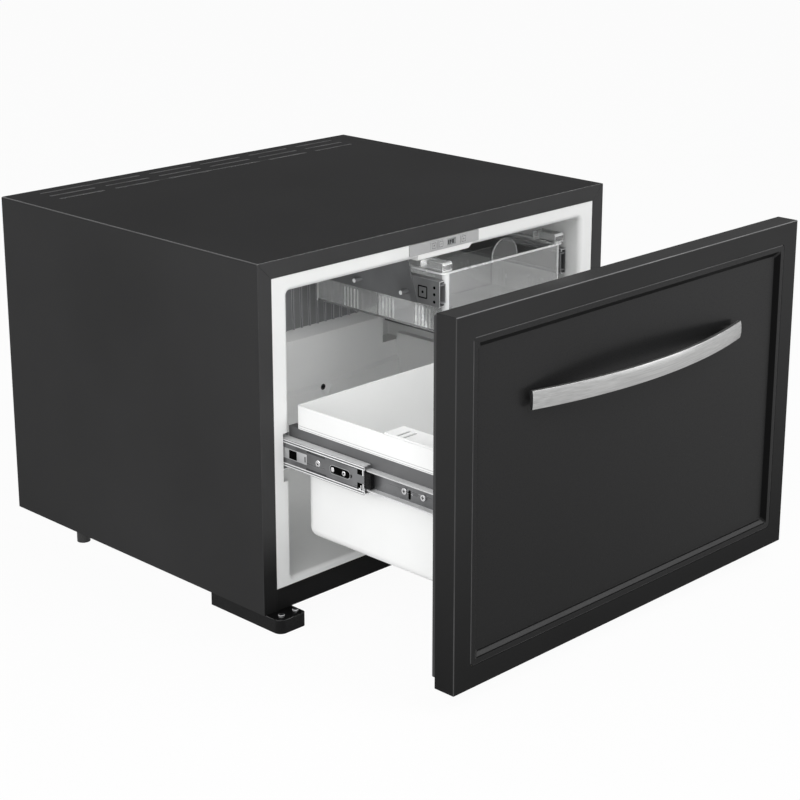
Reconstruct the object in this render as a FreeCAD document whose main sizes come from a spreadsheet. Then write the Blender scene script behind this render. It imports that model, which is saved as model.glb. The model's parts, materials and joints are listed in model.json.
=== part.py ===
"""Drawer fridge for building in: a steel cabinet with a foamed liner, one cooled drawer on
full-extension ball slides, a small clear tray on its own slides above it, and an absorption
cooling unit behind the back plate.

Millimetres. X runs to the right, Y to the rear and Z up. The drawer stands open as at rest.
The origin is on the floor, under the middle of everything.
"""
import FreeCAD, Part
import math
import os
import re
import Sketcher
from FreeCAD import Rotation, Vector

# Driving dimensions, one cell each
SIZES = {
    # cabinet of folded sheet
    "cabinet_width": 564.0,
    "cabinet_depth": 460.0,
    "cabinet_height": 394.0,
    "sheet": 1.0,
    "border_width": 19.0,
    "border_bottom": 25.0,
    "rail_flange": 30.0,
    "rear_return": 14.0,
    "bend_radius": 1.5,
    "seam_gap": 0.3,
    "contact_gap": 0.2,
    "overrun": 4.0,
    "foot_height": 16.0,
    # air slots in the top and the base
    "vent_groups": 6,
    "vent_margin": 42.5,
    "vent_gap": 16.6,
    "vent_rows": 3,
    "vent_width": 3.6,
    "vent_row_pitch": 19.5,
    "vent_rear_margin": 19.0,
    "pan_upstand": 20.0,
    # machine compartment
    "compartment_depth": 107.0,
    "back_plate_thickness": 1.0,
    # liner and its cavity, set off from the cabinet by the foamed walls
    "liner_wall": 2.0,
    "side_wall": 42.0,
    "cavity_rise": 33.0,
    "top_wall": 37.0,
    "rear_wall": 22.0,
    "slope_depth": 14.0,
    "slope_rise": 141.0,
    "slope_height": 12.0,
    "cavity_corner": 5.0,
    "mouth_radius": 6.0,
    "flange_setback": 0.5,
    "lip_depth": 12.0,
    "lip_width": 12.0,
    "sill_lip": 7.0,
    # gutter low on the back wall, which leads water to the drain
    "gutter_depth": 5.0,
    "gutter_slant": 5.0,
    "gutter_height": 78.0,
    "gutter_fall": 10.0,
    "gutter_mouth": 11.0,
    # channels that the drawer slides lie in
    "channel_depth": 10.0,
    "channel_drop": 33.5,
    "channel_height": 55.0,
    "channel_wall": 10.0,
    "channel_pocket_width": 36.0,
    "channel_pocket_drop": 9.5,
    # telescopic drawer slides of three members
    "slide_drop": 27.0,
    "slide_setback": 3.0,
    "slide_rear_gap": 4.0,
    "slide_gauge": 1.2,
    "slide_play": 0.6,
    "web_step": 5.0,
    "slide_thickness": 12.7,
    "cabinet_member_height": 41.6,
    "cabinet_member_depth": 10.5,
    "cabinet_member_lip": 4.0,
    "middle_member_height": 31.6,
    "middle_member_depth": 9.9,
    "middle_member_lip": 3.6,
    "drawer_member_height": 22.4,
    "drawer_member_depth": 8.5,
    "drawer_member_setback": 2.0,
    "stop_length": 9.0,
    "stop_height": 18.0,
    "stop_thickness": 3.8,
    "ball_count": 5,
    "cage_width": 5.0,
    "cage_gauge": 0.8,
    "cage_play": 0.15,
    "outer_ball_radius": 1.75,
    "inner_ball_radius": 1.6,
    "cage_length": 70.0,
    "outer_cage_start": 60.0,
    "inner_cage_start": -50.0,
    "inner_cage_play": 0.5,
    # drawer opening
    "rest_opening": 249.0,
    "gasket_thickness": 6.0,
    "closed_clearance": 0.3,
    # door
    "door_overhang": 0.5,
    "door_rise": 4.4,
    "door_top_gap": 0.4,
    "door_thickness": 26.0,
    "door_sheet": 1.5,
    "door_edge_radius": 1.2,
    "window_inset": 24.0,
    "window_corner": 5.0,
    "groove_chamfer": 0.6,
    "panel_thickness": 6.5,
    "recess_margin": 6.5,
    "recess_bevel": 6.0,
    "recess_depth": 5.0,
    "recess_corner": 4.0,
    "gasket_margin_side": 2.5,
    "gasket_margin_top": 3.6,
    "gasket_margin_bottom": 10.6,
    "gasket_width": 11.0,
    # handle
    "handle_radius": 657.0,
    "handle_angle": 31.0,
    "handle_height": 19.5,
    "handle_thickness": 5.0,
    "handle_crown": 1.1,
    "handle_drop": 105.6,
    "handle_reach": 28.0,
    "handle_boss_radius": 4.5,
    "handle_boss_inset": 11.0,
    # basket of the drawer
    "basket_wall": 2.0,
    "basket_side_step": 12.0,
    "basket_level": 80.0,
    "basket_tray_gap": 17.0,
    "basket_rear_gap": 68.7,
    "basket_radius": 12.0,
    "band_gap": 2.0,
    "band_height": 26.0,
    "band_radius": 4.0,
    "rail_gauge": 1.5,
    "rail_height": 42.0,
    "rail_tail": 13.0,
    "rail_tab": 10.0,
    # screws
    "screw_radius": 2.0,
    "screw_head_radius": 3.5,
    "screw_head_height": 2.2,
    "screw_fit": 0.1,
    "front_screw_from_door": 57.5,
    "screw_pitch": 26.5,
    "rear_screw_from_tail": 40.0,
    # rack in the basket
    "rack_from_door": 29.3,
    "rack_depth": 40.0,
    "rack_wall": 2.0,
    "rack_height": 45.0,
    "rack_bar": 3.0,
    "rack_bar_count": 9,
    "rack_plate_width": 28.0,
    "rack_plate_depth": 85.0,
    "rack_plate_thickness": 2.2,
    "rack_slot_length": 19.0,
    "rack_slot_width": 3.0,
    "rack_slot_pitch": 9.0,
    "rack_slot_rear_margin": 16.5,
    # tray above the drawer, its brackets and slides
    "tray_bay_width": 226.5,
    "tray_slide_thickness": 10.5,
    "tray_slide_outer_depth": 9.3,
    "tray_slide_outer_height": 31.5,
    "tray_slide_outer_lip": 3.2,
    "tray_slide_inner_depth": 8.3,
    "tray_slide_inner_height": 22.4,
    "tray_slide_rise": 50.2,
    "tray_slide_rear_gap": 3.0,
    "tray_setback": 20.0,
    "tray_cage_start": 95.0,
    "tray_cage_length": 50.0,
    "tray_drop": 107.0,
    "tray_height": 74.5,
    "tray_rear_gap": 71.0,
    "tray_wall": 2.0,
    "tray_corner": 6.0,
    "tray_rim": 5.0,
    "tray_rim_thickness": 2.0,
    "tray_rib_width": 2.0,
    "tray_rib_depth": 0.8,
    "tray_rib_pitch": 5.6,
    "tray_rib_height": 26.0,
    "tray_rib_count": 5,
    "tray_rib_groups": 3,
    "tray_rib_from_front": 26.0,
    "tray_rib_from_back": 51.6,
    "tray_divider_from_front": 112.0,
    "tray_divider_height": 50.0,
    "tray_tab_radius": 22.0,
    "tray_tab_rise": 1.5,
    "clip_width": 16.0,
    "clip_length": 36.0,
    "clip_height": 12.0,
    "clip_radius": 3.0,
    "bracket_thickness": 1.5,
    "bracket_front": 53.0,
    "bracket_lean": 26.0,
    "bracket_rear_inset": 28.0,
    "bracket_height": 72.5,
    "bracket_flange": 22.0,
    "bracket_pin_radius": 2.5,
    "bracket_pin_length": 12.0,
    "bracket_pin_from_front": 17.0,
    "bracket_pin_rear_margin": 3.0,
    "bracket_pin_rise": 11.5,
    "wall_bracket_thickness": 1.5,
    "wall_bracket_front": 77.0,
    "wall_bracket_height": 24.0,
    # controls and lamp over the mouth
    "panel_left": 58.0,
    "panel_right": 55.0,
    "panel_height": 13.0,
    "panel_gauge": 1.5,
    "key_size": 9.0,
    "key_gap": 0.25,
    "key_proud": 0.8,
    "key_flange": 0.4,
    "key_flange_gauge": 1.0,
    "key_stem_radius": 1.5,
    "key_switch_gap": 1.0,
    "light_key_place": -20.0,
    "down_key_place": -8.5,
    "up_key_place": 29.0,
    "display_place": 9.8,
    "display_width": 14.4,
    "display_height": 8.0,
    "pocket_left": 50.0,
    "pocket_right": 45.0,
    "pocket_height": 10.0,
    "pocket_depth": 12.0,
    "board_gauge": 1.6,
    "board_setback": 5.5,
    "switch_size": 6.0,
    "board_post_radius": 2.0,
    "lamp_left": 44.0,
    "lamp_right": 46.0,
    "lamp_taper": 8.0,
    "lamp_height": 6.9,
    "lamp_depth": 10.0,
    "lamp_proud": 0.8,
    "lamp_radius": 2.0,
    # evaporator in the cavity
    "plate_side_gap": 25.0,
    "plate_slope_gap": 3.0,
    "plate_top_gap": 7.0,
    "plate_thickness": 3.0,
    "plate_gap": 10.0,
    "plate_rib_depth": 3.0,
    "plate_rib_width": 2.0,
    "plate_rib_pitch": 14.0,
    "clamp_spread": 100.0,
    "clamp_width": 30.0,
    "clamp_height": 40.0,
    "sensor_place": 60.0,
    "sensor_drop": 88.0,
    "sensor_length": 30.0,
    "sensor_radius": 3.0,
    "drain_level": 100.0,
    "drain_radius": 4.0,
    "drain_wall": 1.0,
    "drain_drop": 10.0,
    "drip_tray_width": 80.0,
    "drip_tray_depth": 47.0,
    "drip_tray_height": 20.0,
    "drip_tray_level": 64.0,
    "drip_tray_wall": 1.5,
    "drip_tray_gap": 32.0,
    # cooling unit behind the back plate
    "unit_offset": 49.0,
    "tube_radius": 7.0,
    "tube_bend": 10.0,
    "evaporator_wall": 10.0,
    "evaporator_left_margin": 92.0,
    "evaporator_right_margin": 112.0,
    "evaporator_lead": 40.0,
    "evaporator_top_margin": 46.0,
    "evaporator_drop": 35.0,
    "rectifier_bend": 30.0,
    "fin_count": 24,
    "fin_margin": 12.0,
    "fin_gauge": 1.0,
    "fin_depth": 70.0,
    "fin_height": 56.0,
    "boiler_margin": 65.0,
    "boiler_radius": 14.0,
    "boiler_low": 45.0,
    "boiler_drop": 48.0,
    "jacket_size": 84.0,
    "jacket_base_gap": 15.0,
    "jacket_top_gap": 10.0,
    "jacket_gauge": 0.8,
    "heater_radius": 5.0,
    "heater_offset": 20.0,
    "heater_length": 120.0,
    "coil_radius": 9.0,
    "coil_margin": 42.0,
    "coil_box_gap": 25.0,
    "coil_drop": 58.0,
    "coil_tail": 40.0,
    "coil_rows": 5,
    "vessel_radius": 28.0,
    "vessel_margin": 52.0,
    "vessel_gap": 23.0,
    "vessel_level": 62.0,
    "vessel_inset": 40.0,
    "return_radius": 6.0,
    "return_drop": 12.0,
    "bracket_width": 20.0,
    "left_bracket_inset": 25.0,
    "right_bracket_inset": 30.0,
    "electronics_gap": 10.0,
    "electronics_width": 70.0,
    "electronics_depth": 45.0,
    "electronics_drop": 15.0,
    "electronics_height": 100.0,
    "inlet_width": 28.0,
    "inlet_height": 22.0,
    "inlet_depth": 20.0,
    "inlet_wall": 2.5,
    "inlet_rise": 35.0,
    "inlet_recess": 16.0,
    "inlet_pin_width": 2.0,
    "inlet_pin_height": 5.0,
    "inlet_pin_length": 10.0,
    "inlet_pin_pitch": 7.0,
    # feet
    "foot_inset": 2.0,
    "foot_width": 38.0,
    "foot_reach": 23.0,
    "foot_length": 115.0,
    "foot_outer_radius": 9.0,
    "foot_inner_radius": 4.0,
    "foot_screw_inset": 11.0,
    "foot_screw_pitch": 20.4,
    "foot_screw_from_front": 10.0,
    "rear_foot_radius": 8.0,
    "rear_foot_inset": 13.0,
    "rear_foot_from_back": 115.0,
}

# Places worked out from the driving dimensions, each from those before it
PLACES = {
    "half": "cabinet_width / 2",
    "front": "(rest_opening + gasket_thickness + closed_clearance + door_thickness + handle_reach"
             " - cabinet_depth) / 2",
    "back": "front + cabinet_depth",
    "low": "foot_height",
    "high": "foot_height + cabinet_height",
    "face": "front + flange_setback",
    "plate_y": "back - compartment_depth - back_plate_thickness",
    "rear_y": "back - compartment_depth",
    "vent_pitch": "(cabinet_width - 2 * vent_margin + vent_gap) / vent_groups",
    "vent_length": "vent_pitch - vent_gap",
    "vent_start": "vent_margin - half + vent_width / 2",
    "opening_half": "half - border_width",
    "opening_low": "low + border_bottom",
    "opening_high": "high - border_width",
    "cavity_half": "half - side_wall",
    "cavity_low": "low + cavity_rise",
    "cavity_high": "high - top_wall",
    "slope_low": "cavity_low + slope_rise",
    "slope_high": "slope_low + slope_height",
    "cavity_back": "plate_y - rear_wall",
    "cavity_back_low": "cavity_back - slope_depth",
    "plate_back": "cavity_back - plate_gap",
    "plate_front": "plate_back - plate_thickness",
    "plate_half": "cavity_half - plate_side_gap",
    "plate_low": "slope_high + plate_slope_gap",
    "plate_high": "cavity_high - plate_top_gap",
    "sensor_low": "plate_high - sensor_drop",
    "tray_right": "cavity_half - wall_bracket_thickness",
    "tray_left": "tray_right - tray_bay_width",
    "tray_centre": "(tray_left + tray_right) / 2",
    "tray_half": "tray_bay_width / 2 - tray_slide_thickness",
    "tray_low": "cavity_high - tray_drop",
    "tray_high": "tray_low + tray_height",
    "tray_z": "tray_low + tray_slide_rise",
    "tray_front": "front + tray_setback",
    "tray_back": "plate_front - plate_rib_depth - tray_rear_gap",
    "tray_length": "tray_back - tray_front",
    "tray_slide_length": "tray_length - tray_slide_rear_gap",
    "tray_rib_group_pitch": "(tray_length - tray_rib_from_front - tray_rib_from_back - tray_rib_width"
                            " - (tray_rib_count - 1) * tray_rib_pitch) / (tray_rib_groups - 1)",
    "bracket_front_y": "front + bracket_front",
    "bracket_back_y": "tray_back - bracket_rear_inset",
    "bracket_low": "cavity_high - bracket_height",
    "bracket_pin_y": "bracket_front_y + bracket_pin_from_front",
    "bracket_pin_pitch": "(bracket_back_y - bracket_front_y) / 2 - bracket_pin_rear_margin",
    "door_back": "front - closed_clearance - gasket_thickness - rest_opening",
    "door_front": "door_back - door_thickness",
    "door_half": "half + door_overhang",
    "door_low": "low + door_rise",
    "door_high": "high - door_top_gap",
    "door_height": "door_high - door_low",
    "recess_inset": "window_inset + recess_margin",
    "panel_floor": "door_front + recess_depth",
    "handle_z": "door_high - handle_drop",
    "band_half": "cavity_half - band_gap",
    "basket_half": "band_half - basket_side_step",
    "basket_low": "low + basket_level",
    "basket_high": "tray_low - basket_tray_gap",
    "basket_back": "door_back + cavity_back_low - front - basket_rear_gap",
    "band_low": "basket_high - band_height",
    "rail_end": "basket_back + rail_tail",
    "rack_front": "door_back + rack_from_door",
    "rack_half": "basket_half - basket_wall - contact_gap",
    "rack_low": "basket_high - rack_height",
    "slide_z": "band_low - slide_drop",
    "channel_half": "cavity_half + channel_depth",
    "channel_low": "slide_z - channel_drop",
    "channel_high": "channel_low + channel_height",
    "channel_end": "plate_y - channel_wall",
    "slide_length": "channel_end - slide_rear_gap - slide_setback - front",
    "middle_start": "front + slide_setback - rest_opening / 2",
    "drawer_start": "front + slide_setback + drawer_member_setback - rest_opening",
    "rail_half": "channel_half - slide_thickness",
    "panel_high": "opening_high - seam_gap",
    "panel_low": "panel_high - panel_height",
    "key_z": "panel_low + panel_height / 2",
    "panel_front": "face - panel_gauge",
    "pocket_low": "key_z - pocket_height / 2",
    "pocket_high": "pocket_low + pocket_height",
    "pocket_back": "face + pocket_depth",
    "board_y": "face + board_setback",
    "switch_y": "face + board_setback - board_gauge",
    "lamp_high": "panel_low - seam_gap",
    "lamp_low": "lamp_high - lamp_height",
    "unit_y": "rear_y + unit_offset",
    "evaporator_y": "plate_y - evaporator_wall",
    "evaporator_z": "high - evaporator_top_margin",
    "return_z": "evaporator_z - evaporator_drop",
    "evaporator_left": "half - evaporator_left_margin",
    "evaporator_right": "half - evaporator_right_margin",
    "condenser_end": "evaporator_left - evaporator_lead",
    "fin_pitch": "2 * (condenser_end - fin_margin) / (fin_count - 1)",
    "boiler_place": "half - boiler_margin",
    "boiler_bottom": "low + boiler_low",
    "boiler_top": "evaporator_z - boiler_drop",
    "jacket_bottom": "boiler_bottom + jacket_base_gap",
    "jacket_top": "boiler_top - jacket_top_gap",
    "jacket_left": "boiler_place - jacket_size / 2",
    "jacket_right": "boiler_place + jacket_size / 2",
    "jacket_front": "unit_y - jacket_size / 2",
    "jacket_back": "unit_y + jacket_size / 2",
    "drip_tray_right": "jacket_left - drip_tray_gap",
    "drip_tray_left": "drip_tray_right - drip_tray_width",
    "drain_place": "(drip_tray_left + drip_tray_right) / 2",
    "drain_z": "low + drain_level",
    "gutter_high": "cavity_low + gutter_height",
    "gutter_low": "gutter_high - gutter_fall",
    "box_right": "jacket_left - electronics_gap",
    "box_left": "box_right - electronics_width",
    "box_middle": "(box_left + box_right) / 2",
    "box_back": "rear_y + electronics_depth",
    "box_high": "evaporator_z - fin_height / 2 - electronics_drop",
    "box_low": "box_high - electronics_height",
    "inlet_low": "box_low + inlet_rise",
    "inlet_back": "box_back + inlet_depth",
    "vessel_z": "low + vessel_level",
    "vessel_left": "half - vessel_margin",
    "vessel_right": "drip_tray_left - vessel_gap",
    "coil_z": "evaporator_z - coil_drop",
    "coil_left": "half - coil_margin",
    "coil_right": "box_left - coil_box_gap",
    "coil_end": "vessel_right - vessel_radius",
    "coil_low": "vessel_z + vessel_radius + coil_tail",
    "coil_pitch": "(coil_z - coil_low) / (coil_rows - 1)",
    "foot_half": "half - foot_inset",
    "foot_front": "front - foot_reach",
}

CLOSE = 0.01
WORD = re.compile(r"[A-Za-z_]\w*")
PIECES = {}

doc = FreeCAD.newDocument("DrawerFridge")
sheet = doc.addObject("Spreadsheet::Sheet", "Sizes")
for row, (alias, size) in enumerate(SIZES.items(), 1):
    sheet.set(f"A{row}", alias.replace("_", " "))
    sheet.set(f"B{row}", str(size))
    sheet.setAlias(f"B{row}", alias)
doc.recompute()
places = doc.addObject("App::FeaturePython", "Places")


def named(text):
    """the expression with each size and place led by the object that holds it"""
    def owner(word):
        name = word.group()
        if name in SIZES:
            return "Sizes." + name
        return "Places." + name if name in PLACES else name
    return WORD.sub(owner, str(text))


for place, text in PLACES.items():
    places.addProperty("App::PropertyFloat", place)
    places.setExpression(place, named(text))
doc.recompute()
VALUES = {name: float(getattr(sheet, name)) for name in SIZES}
VALUES.update({name: float(getattr(places, name)) for name in PLACES})


def number(text):
    """the expression's value now"""
    plain = WORD.sub(lambda word: f"({VALUES[word.group()]!r})", str(text))
    return float(FreeCAD.Units.Quantity(plain).Value)


def bind(thing, settings):
    for prop, text in settings.items():
        thing.setExpression(prop, named(text))
    return thing


def finished(name, thing):
    """gives a sub-part its name"""
    thing.Label = name
    PIECES[name] = thing
    return thing


# Part primitives and booleans
TURNS = {
    "X": Rotation(Vector(0, 1, 0), 90),
    "Y": Rotation(Vector(1, 0, 0), -90),
    "Z": Rotation(),
}


def box(across, along, up):
    """a block between two places on each axis"""
    block = doc.addObject("Part::Box", "block")
    spans = {"Length": across, "Width": along, "Height": up}
    settings = {prop: f"({high}) - ({low})" for prop, (low, high) in spans.items()}
    corners = zip("xyz", (across, along, up))
    settings.update({f"Placement.Base.{axis}": span[0] for axis, span in corners})
    return bind(block, settings)


def rod(axis, radius, span, spot):
    """a round bar along an axis, at the given spot on the other two"""
    bar = doc.addObject("Part::Cylinder", "bar")
    bar.Placement.Rotation = TURNS[axis]
    others = [name for name in "XYZ" if name != axis]
    settings = {"Radius": radius, "Height": f"({span[1]}) - ({span[0]})"}
    settings[f"Placement.Base.{axis.lower()}"] = span[0]
    settings.update({f"Placement.Base.{name.lower()}": text for name, text in zip(others, spot)})
    return bind(bar, settings)


def ball(radius, spot):
    sphere = doc.addObject("Part::Sphere", "ball")
    settings = {f"Placement.Base.{axis}": text for axis, text in zip("xyz", spot)}
    settings["Radius"] = radius
    return bind(sphere, settings)


def cut(base, *tools):
    for tool in tools:
        result = doc.addObject("Part::Cut", "cut")
        result.Base = base
        result.Tool = tool
        base = result
    return base


def fuse(*shapes):
    result = doc.addObject("Part::MultiFuse", "joined")
    result.Shapes = list(shapes)
    result.Refine = True
    return result


def group(*shapes):
    """separate solids kept together"""
    result = doc.addObject("Part::Compound", "group")
    result.Links = list(shapes)
    return result


def mirrored(shape, about="0"):
    """the same piece on the other side of a plane square to X"""
    result = doc.addObject("Part::Mirroring", "mirrored")
    result.Source = shape
    result.Normal = Vector(1, 0, 0)
    if about != "0":
        result.setExpression("Base.x", named(about))
    return result


def feature(shape):
    thing = doc.addObject("Part::Feature", "made")
    thing.Shape = shape
    return thing


def edges_along(shape, axis, spots):
    """numbers of the straight edges along an axis that pass through the spots"""
    others = [place for place, name in enumerate("XYZ") if name != axis]
    targets = [[number(text) for text in spot] for spot in spots]
    chosen = []
    for count, edge in enumerate(shape.Edges, 1):
        ends = [vertex.Point for vertex in edge.Vertexes]
        if edge.Curve.TypeId != "Part::GeomLine":
            continue
        for target in targets:
            if all(abs(end[place] - want) < CLOSE
                   for end in ends for place, want in zip(others, target)):
                chosen.append(count)
    return chosen


def edges_on_plane(shape, axis, level, reach):
    """numbers of the edges that lie on a plane, within a reach of X"""
    place = "XYZ".index(axis)
    height, limit = number(level), number(reach)
    chosen = []
    for count, edge in enumerate(shape.Edges, 1):
        points = [vertex.Point for vertex in edge.Vertexes] + [edge.valueAt(edge.FirstParameter)]
        if all(abs(point[place] - height) < CLOSE and abs(point.x) < limit for point in points):
            chosen.append(count)
    return chosen


def rounded(base, radius, edges, kind="Part::Fillet"):
    result = doc.addObject(kind, "rounded")
    result.Base = base
    size = number(radius)
    result.Edges = [(count, size, size) for count in edges]
    doc.recompute()
    return result


def rounded_box(across, along, up, radius, axis="Y"):
    """a block whose four edges along an axis are round"""
    block = box(across, along, up)
    doc.recompute()
    spans = [span for span, name in zip((across, along, up), "XYZ") if name != axis]
    spots = [(first, second) for first in spans[0] for second in spans[1]]
    return rounded(block, radius, edges_along(block.Shape, axis, spots))


# PartDesign bodies
PLANES = {"XY": "XY_Plane", "XZ": "XZ_Plane", "YZ": "YZ_Plane"}


def body():
    return doc.addObject("PartDesign::Body", "body")


def new_sketch(piece, side, level):
    """a sketch on one of the body's own planes, moved to a level along its normal"""
    sketch = piece.newObject("Sketcher::SketchObject", "sketch")
    role = PLANES[side]
    plane = next(item for item in piece.Origin.OriginFeatures if item.Role == role)
    sketch.AttachmentSupport = [(plane, "")]
    sketch.MapMode = "FlatFace"
    sign = "-" if side == "XZ" else ""
    if level != "0":
        sketch.setExpression("AttachmentOffset.Base.z", named(f"{sign}({level})"))
    return sketch


def hold(sketch, kind, *ends, text):
    """a bound dimension of a sketch"""
    count = sketch.addConstraint(Sketcher.Constraint(kind, *ends, number(text)))
    sketch.renameConstraint(count, f"size{count}")
    sketch.setExpression(f"Constraints.size{count}", named(text))


def add_outline(sketch, points):
    """a closed outline of straight sides"""
    spots = [Vector(number(first), number(second), 0) for first, second in points]
    lines = [sketch.addGeometry(Part.LineSegment(spots[turn], spots[(turn + 1) % len(spots)]))
             for turn in range(len(spots))]
    for turn, line in enumerate(lines):
        after = lines[(turn + 1) % len(lines)]
        sketch.addConstraint(Sketcher.Constraint("Coincident", line, 2, after, 1))
    for line, (first, second) in zip(lines, points):
        hold(sketch, "DistanceX", -1, 1, line, 1, text=first)
        hold(sketch, "DistanceY", -1, 1, line, 1, text=second)


def add_circle(sketch, spot, radius):
    centre = Vector(number(spot[0]), number(spot[1]), 0)
    ring = sketch.addGeometry(Part.Circle(centre, Vector(0, 0, 1), number(radius)))
    hold(sketch, "Radius", ring, text=radius)
    hold(sketch, "DistanceX", -1, 1, ring, 3, text=spot[0])
    hold(sketch, "DistanceY", -1, 1, ring, 3, text=spot[1])


def add_slot(sketch, start, end, level, radius):
    """a slot with round ends, along the sketch's own X"""
    left, right, across, size = (number(text) for text in (start, end, level, radius))
    normal, quarter = Vector(0, 0, 1), math.pi / 2
    low = sketch.addGeometry(Part.LineSegment(Vector(left, across - size, 0),
                                              Vector(right, across - size, 0)))
    far = sketch.addGeometry(Part.ArcOfCircle(
        Part.Circle(Vector(right, across, 0), normal, size), -quarter, quarter))
    top = sketch.addGeometry(Part.LineSegment(Vector(right, across + size, 0),
                                              Vector(left, across + size, 0)))
    near = sketch.addGeometry(Part.ArcOfCircle(
        Part.Circle(Vector(left, across, 0), normal, size), quarter, 3 * quarter))
    for first, first_end, second, second_end in ((low, 2, far, 1), (far, 2, top, 1),
                                                 (top, 2, near, 1), (near, 2, low, 1)):
        sketch.addConstraint(
            Sketcher.Constraint("Tangent", first, first_end, second, second_end))
    sketch.addConstraint(Sketcher.Constraint("Horizontal", low))
    sketch.addConstraint(Sketcher.Constraint("Equal", far, near))
    hold(sketch, "Radius", far, text=radius)
    hold(sketch, "DistanceX", -1, 1, far, 3, text=end)
    hold(sketch, "DistanceY", -1, 1, far, 3, text=level)
    hold(sketch, "DistanceX", -1, 1, near, 3, text=start)


def raise_sketch(piece, sketch, side, low, high):
    """a pad from one level to a higher one"""
    pad = piece.newObject("PartDesign::Pad", "pad")
    pad.Profile = sketch
    pad.Reversed = side == "XZ"
    bind(pad, {"Length": f"({high}) - ({low})"})
    doc.recompute()
    return pad


def sink_sketch(piece, sketch, side, low, high):
    """a pocket from one level to a higher one"""
    before = piece.Shape.Volume
    pocket = piece.newObject("PartDesign::Pocket", "pocket")
    pocket.Profile = sketch
    pocket.Reversed = side != "XZ"
    bind(pocket, {"Length": f"({high}) - ({low})"})
    doc.recompute()
    if piece.Shape.Volume >= before:
        raise RuntimeError("a pocket cut nothing")
    return pocket


def prism(piece, side, points, low, high):
    sketch = new_sketch(piece, side, low)
    add_outline(sketch, points)
    return raise_sketch(piece, sketch, side, low, high)


def sink(piece, side, points, low, high):
    sketch = new_sketch(piece, side, low)
    add_outline(sketch, points)
    return sink_sketch(piece, sketch, side, low, high)


def repeat(piece, item, axis, length, count):
    """a row of one feature of a body"""
    row = piece.newObject("PartDesign::LinearPattern", "row")
    row.Originals = [item]
    line = next(part for part in piece.Origin.OriginFeatures if part.Role == f"{axis}_Axis")
    row.Direction = (line, [""])
    bind(row, {"Length": length, "Occurrences": count})
    piece.Tip = row
    doc.recompute()
    return row


def round_body(piece, radius, axis, spots):
    """a fillet along straight edges of a body"""
    edges = edges_along(piece.Shape, axis, spots)
    fillet = piece.newObject("PartDesign::Fillet", "fillet")
    fillet.Base = (piece.Tip if piece.Tip != fillet else fillet.BaseFeature,
                   [f"Edge{count}" for count in edges])
    bind(fillet, {"Radius": radius})
    doc.recompute()
    return fillet


def rectangle(across, up):
    return [(across[0], up[0]), (across[1], up[0]), (across[1], up[1]), (across[0], up[1])]


def wide(half_width):
    return f"-({half_width})", half_width


def pipe(corners, bend, radius):
    """a tube along straight runs, with an arc at each inner corner"""
    points = [Vector(*(number(text) for text in corner)) for corner in corners]
    turn, thickness = number(bend), number(radius)
    edges = []
    start = points[0]
    for before, here, after in zip(points, points[1:], points[2:]):
        into = (here - before).normalize()
        out = (after - here).normalize()
        half_turn = into.getAngle(out) / 2
        reach = turn * math.tan(half_turn)
        inward = (out - into).normalize()
        centre = here + inward * (turn / math.cos(half_turn))
        first, last = here - into * reach, here + out * reach
        if (first - start).Length > CLOSE:
            edges.append(Part.LineSegment(start, first).toShape())
        edges.append(Part.Arc(first, centre - inward * turn, last).toShape())
        start = last
    edges.append(Part.LineSegment(start, points[-1]).toShape())
    ring = Part.Wire([Part.makeCircle(thickness, points[0], points[1] - points[0])])
    return feature(Part.Wire(edges).makePipeShell([ring], True, True))


# Steel cabinet
def add_vents(sketch, rear):
    """one group of air slots, in rows from the rear"""
    for row in range(int(number("vent_rows"))):
        add_slot(sketch, "vent_start", "vent_start + vent_length - vent_width",
                 f"{rear} - {row} * vent_row_pitch", "vent_width / 2")


def make_wrapper():
    piece = body()
    prism(piece, "XZ", rectangle(wide("half"), ("low", "high")), "front", "back")
    sink(piece, "XZ", rectangle(wide("half - sheet"), ("low - overrun", "high - sheet")),
         "front + sheet", "back - sheet")
    sink(piece, "XZ", rectangle(wide("opening_half"), ("low - overrun", "opening_high")),
         "front - overrun", "front + 2 * sheet")
    sink(piece, "XZ",
         rectangle(wide("half - rear_return"), ("low - overrun", "high - rear_return")),
         "back - 2 * sheet", "back + overrun")
    round_body(piece, "bend_radius", "Y", [("half", "high"), ("-half", "high")])
    slots = new_sketch(piece, "XY", "high - 2 * sheet")
    add_vents(slots, "back - vent_rear_margin")
    first = sink_sketch(piece, slots, "XY", "high - 2 * sheet", "high + overrun")
    repeat(piece, first, "X", "(vent_groups - 1) * vent_pitch", "vent_groups")
    finished("outer_wrapper", piece)


def make_rail_and_pan():
    plate = box(wide("opening_half - seam_gap"), ("front", "front + sheet"), ("low", "opening_low"))
    flange = box(wide("opening_half - seam_gap"), ("front", "front + rail_flange"),
                 ("low", "low + sheet"))
    finished("front_bottom_rail", fuse(plate, flange))
    pan = body()
    prism(pan, "XY", rectangle(wide("half - sheet"), ("front + rail_flange", "back - sheet")),
          "low", "low + sheet")
    slots = new_sketch(pan, "XY", "low - sheet")
    add_vents(slots, "back - 2 * vent_rear_margin")
    first = sink_sketch(pan, slots, "XY", "low - sheet", "low + 2 * sheet")
    repeat(pan, first, "X", "(vent_groups - 1) * vent_pitch", "vent_groups")
    upstand = box(wide("half - rear_return - seam_gap"), ("back - 2 * sheet", "back - sheet"),
                  ("low", "low + pan_upstand"))
    finished("base_pan", fuse(pan, upstand))


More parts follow.
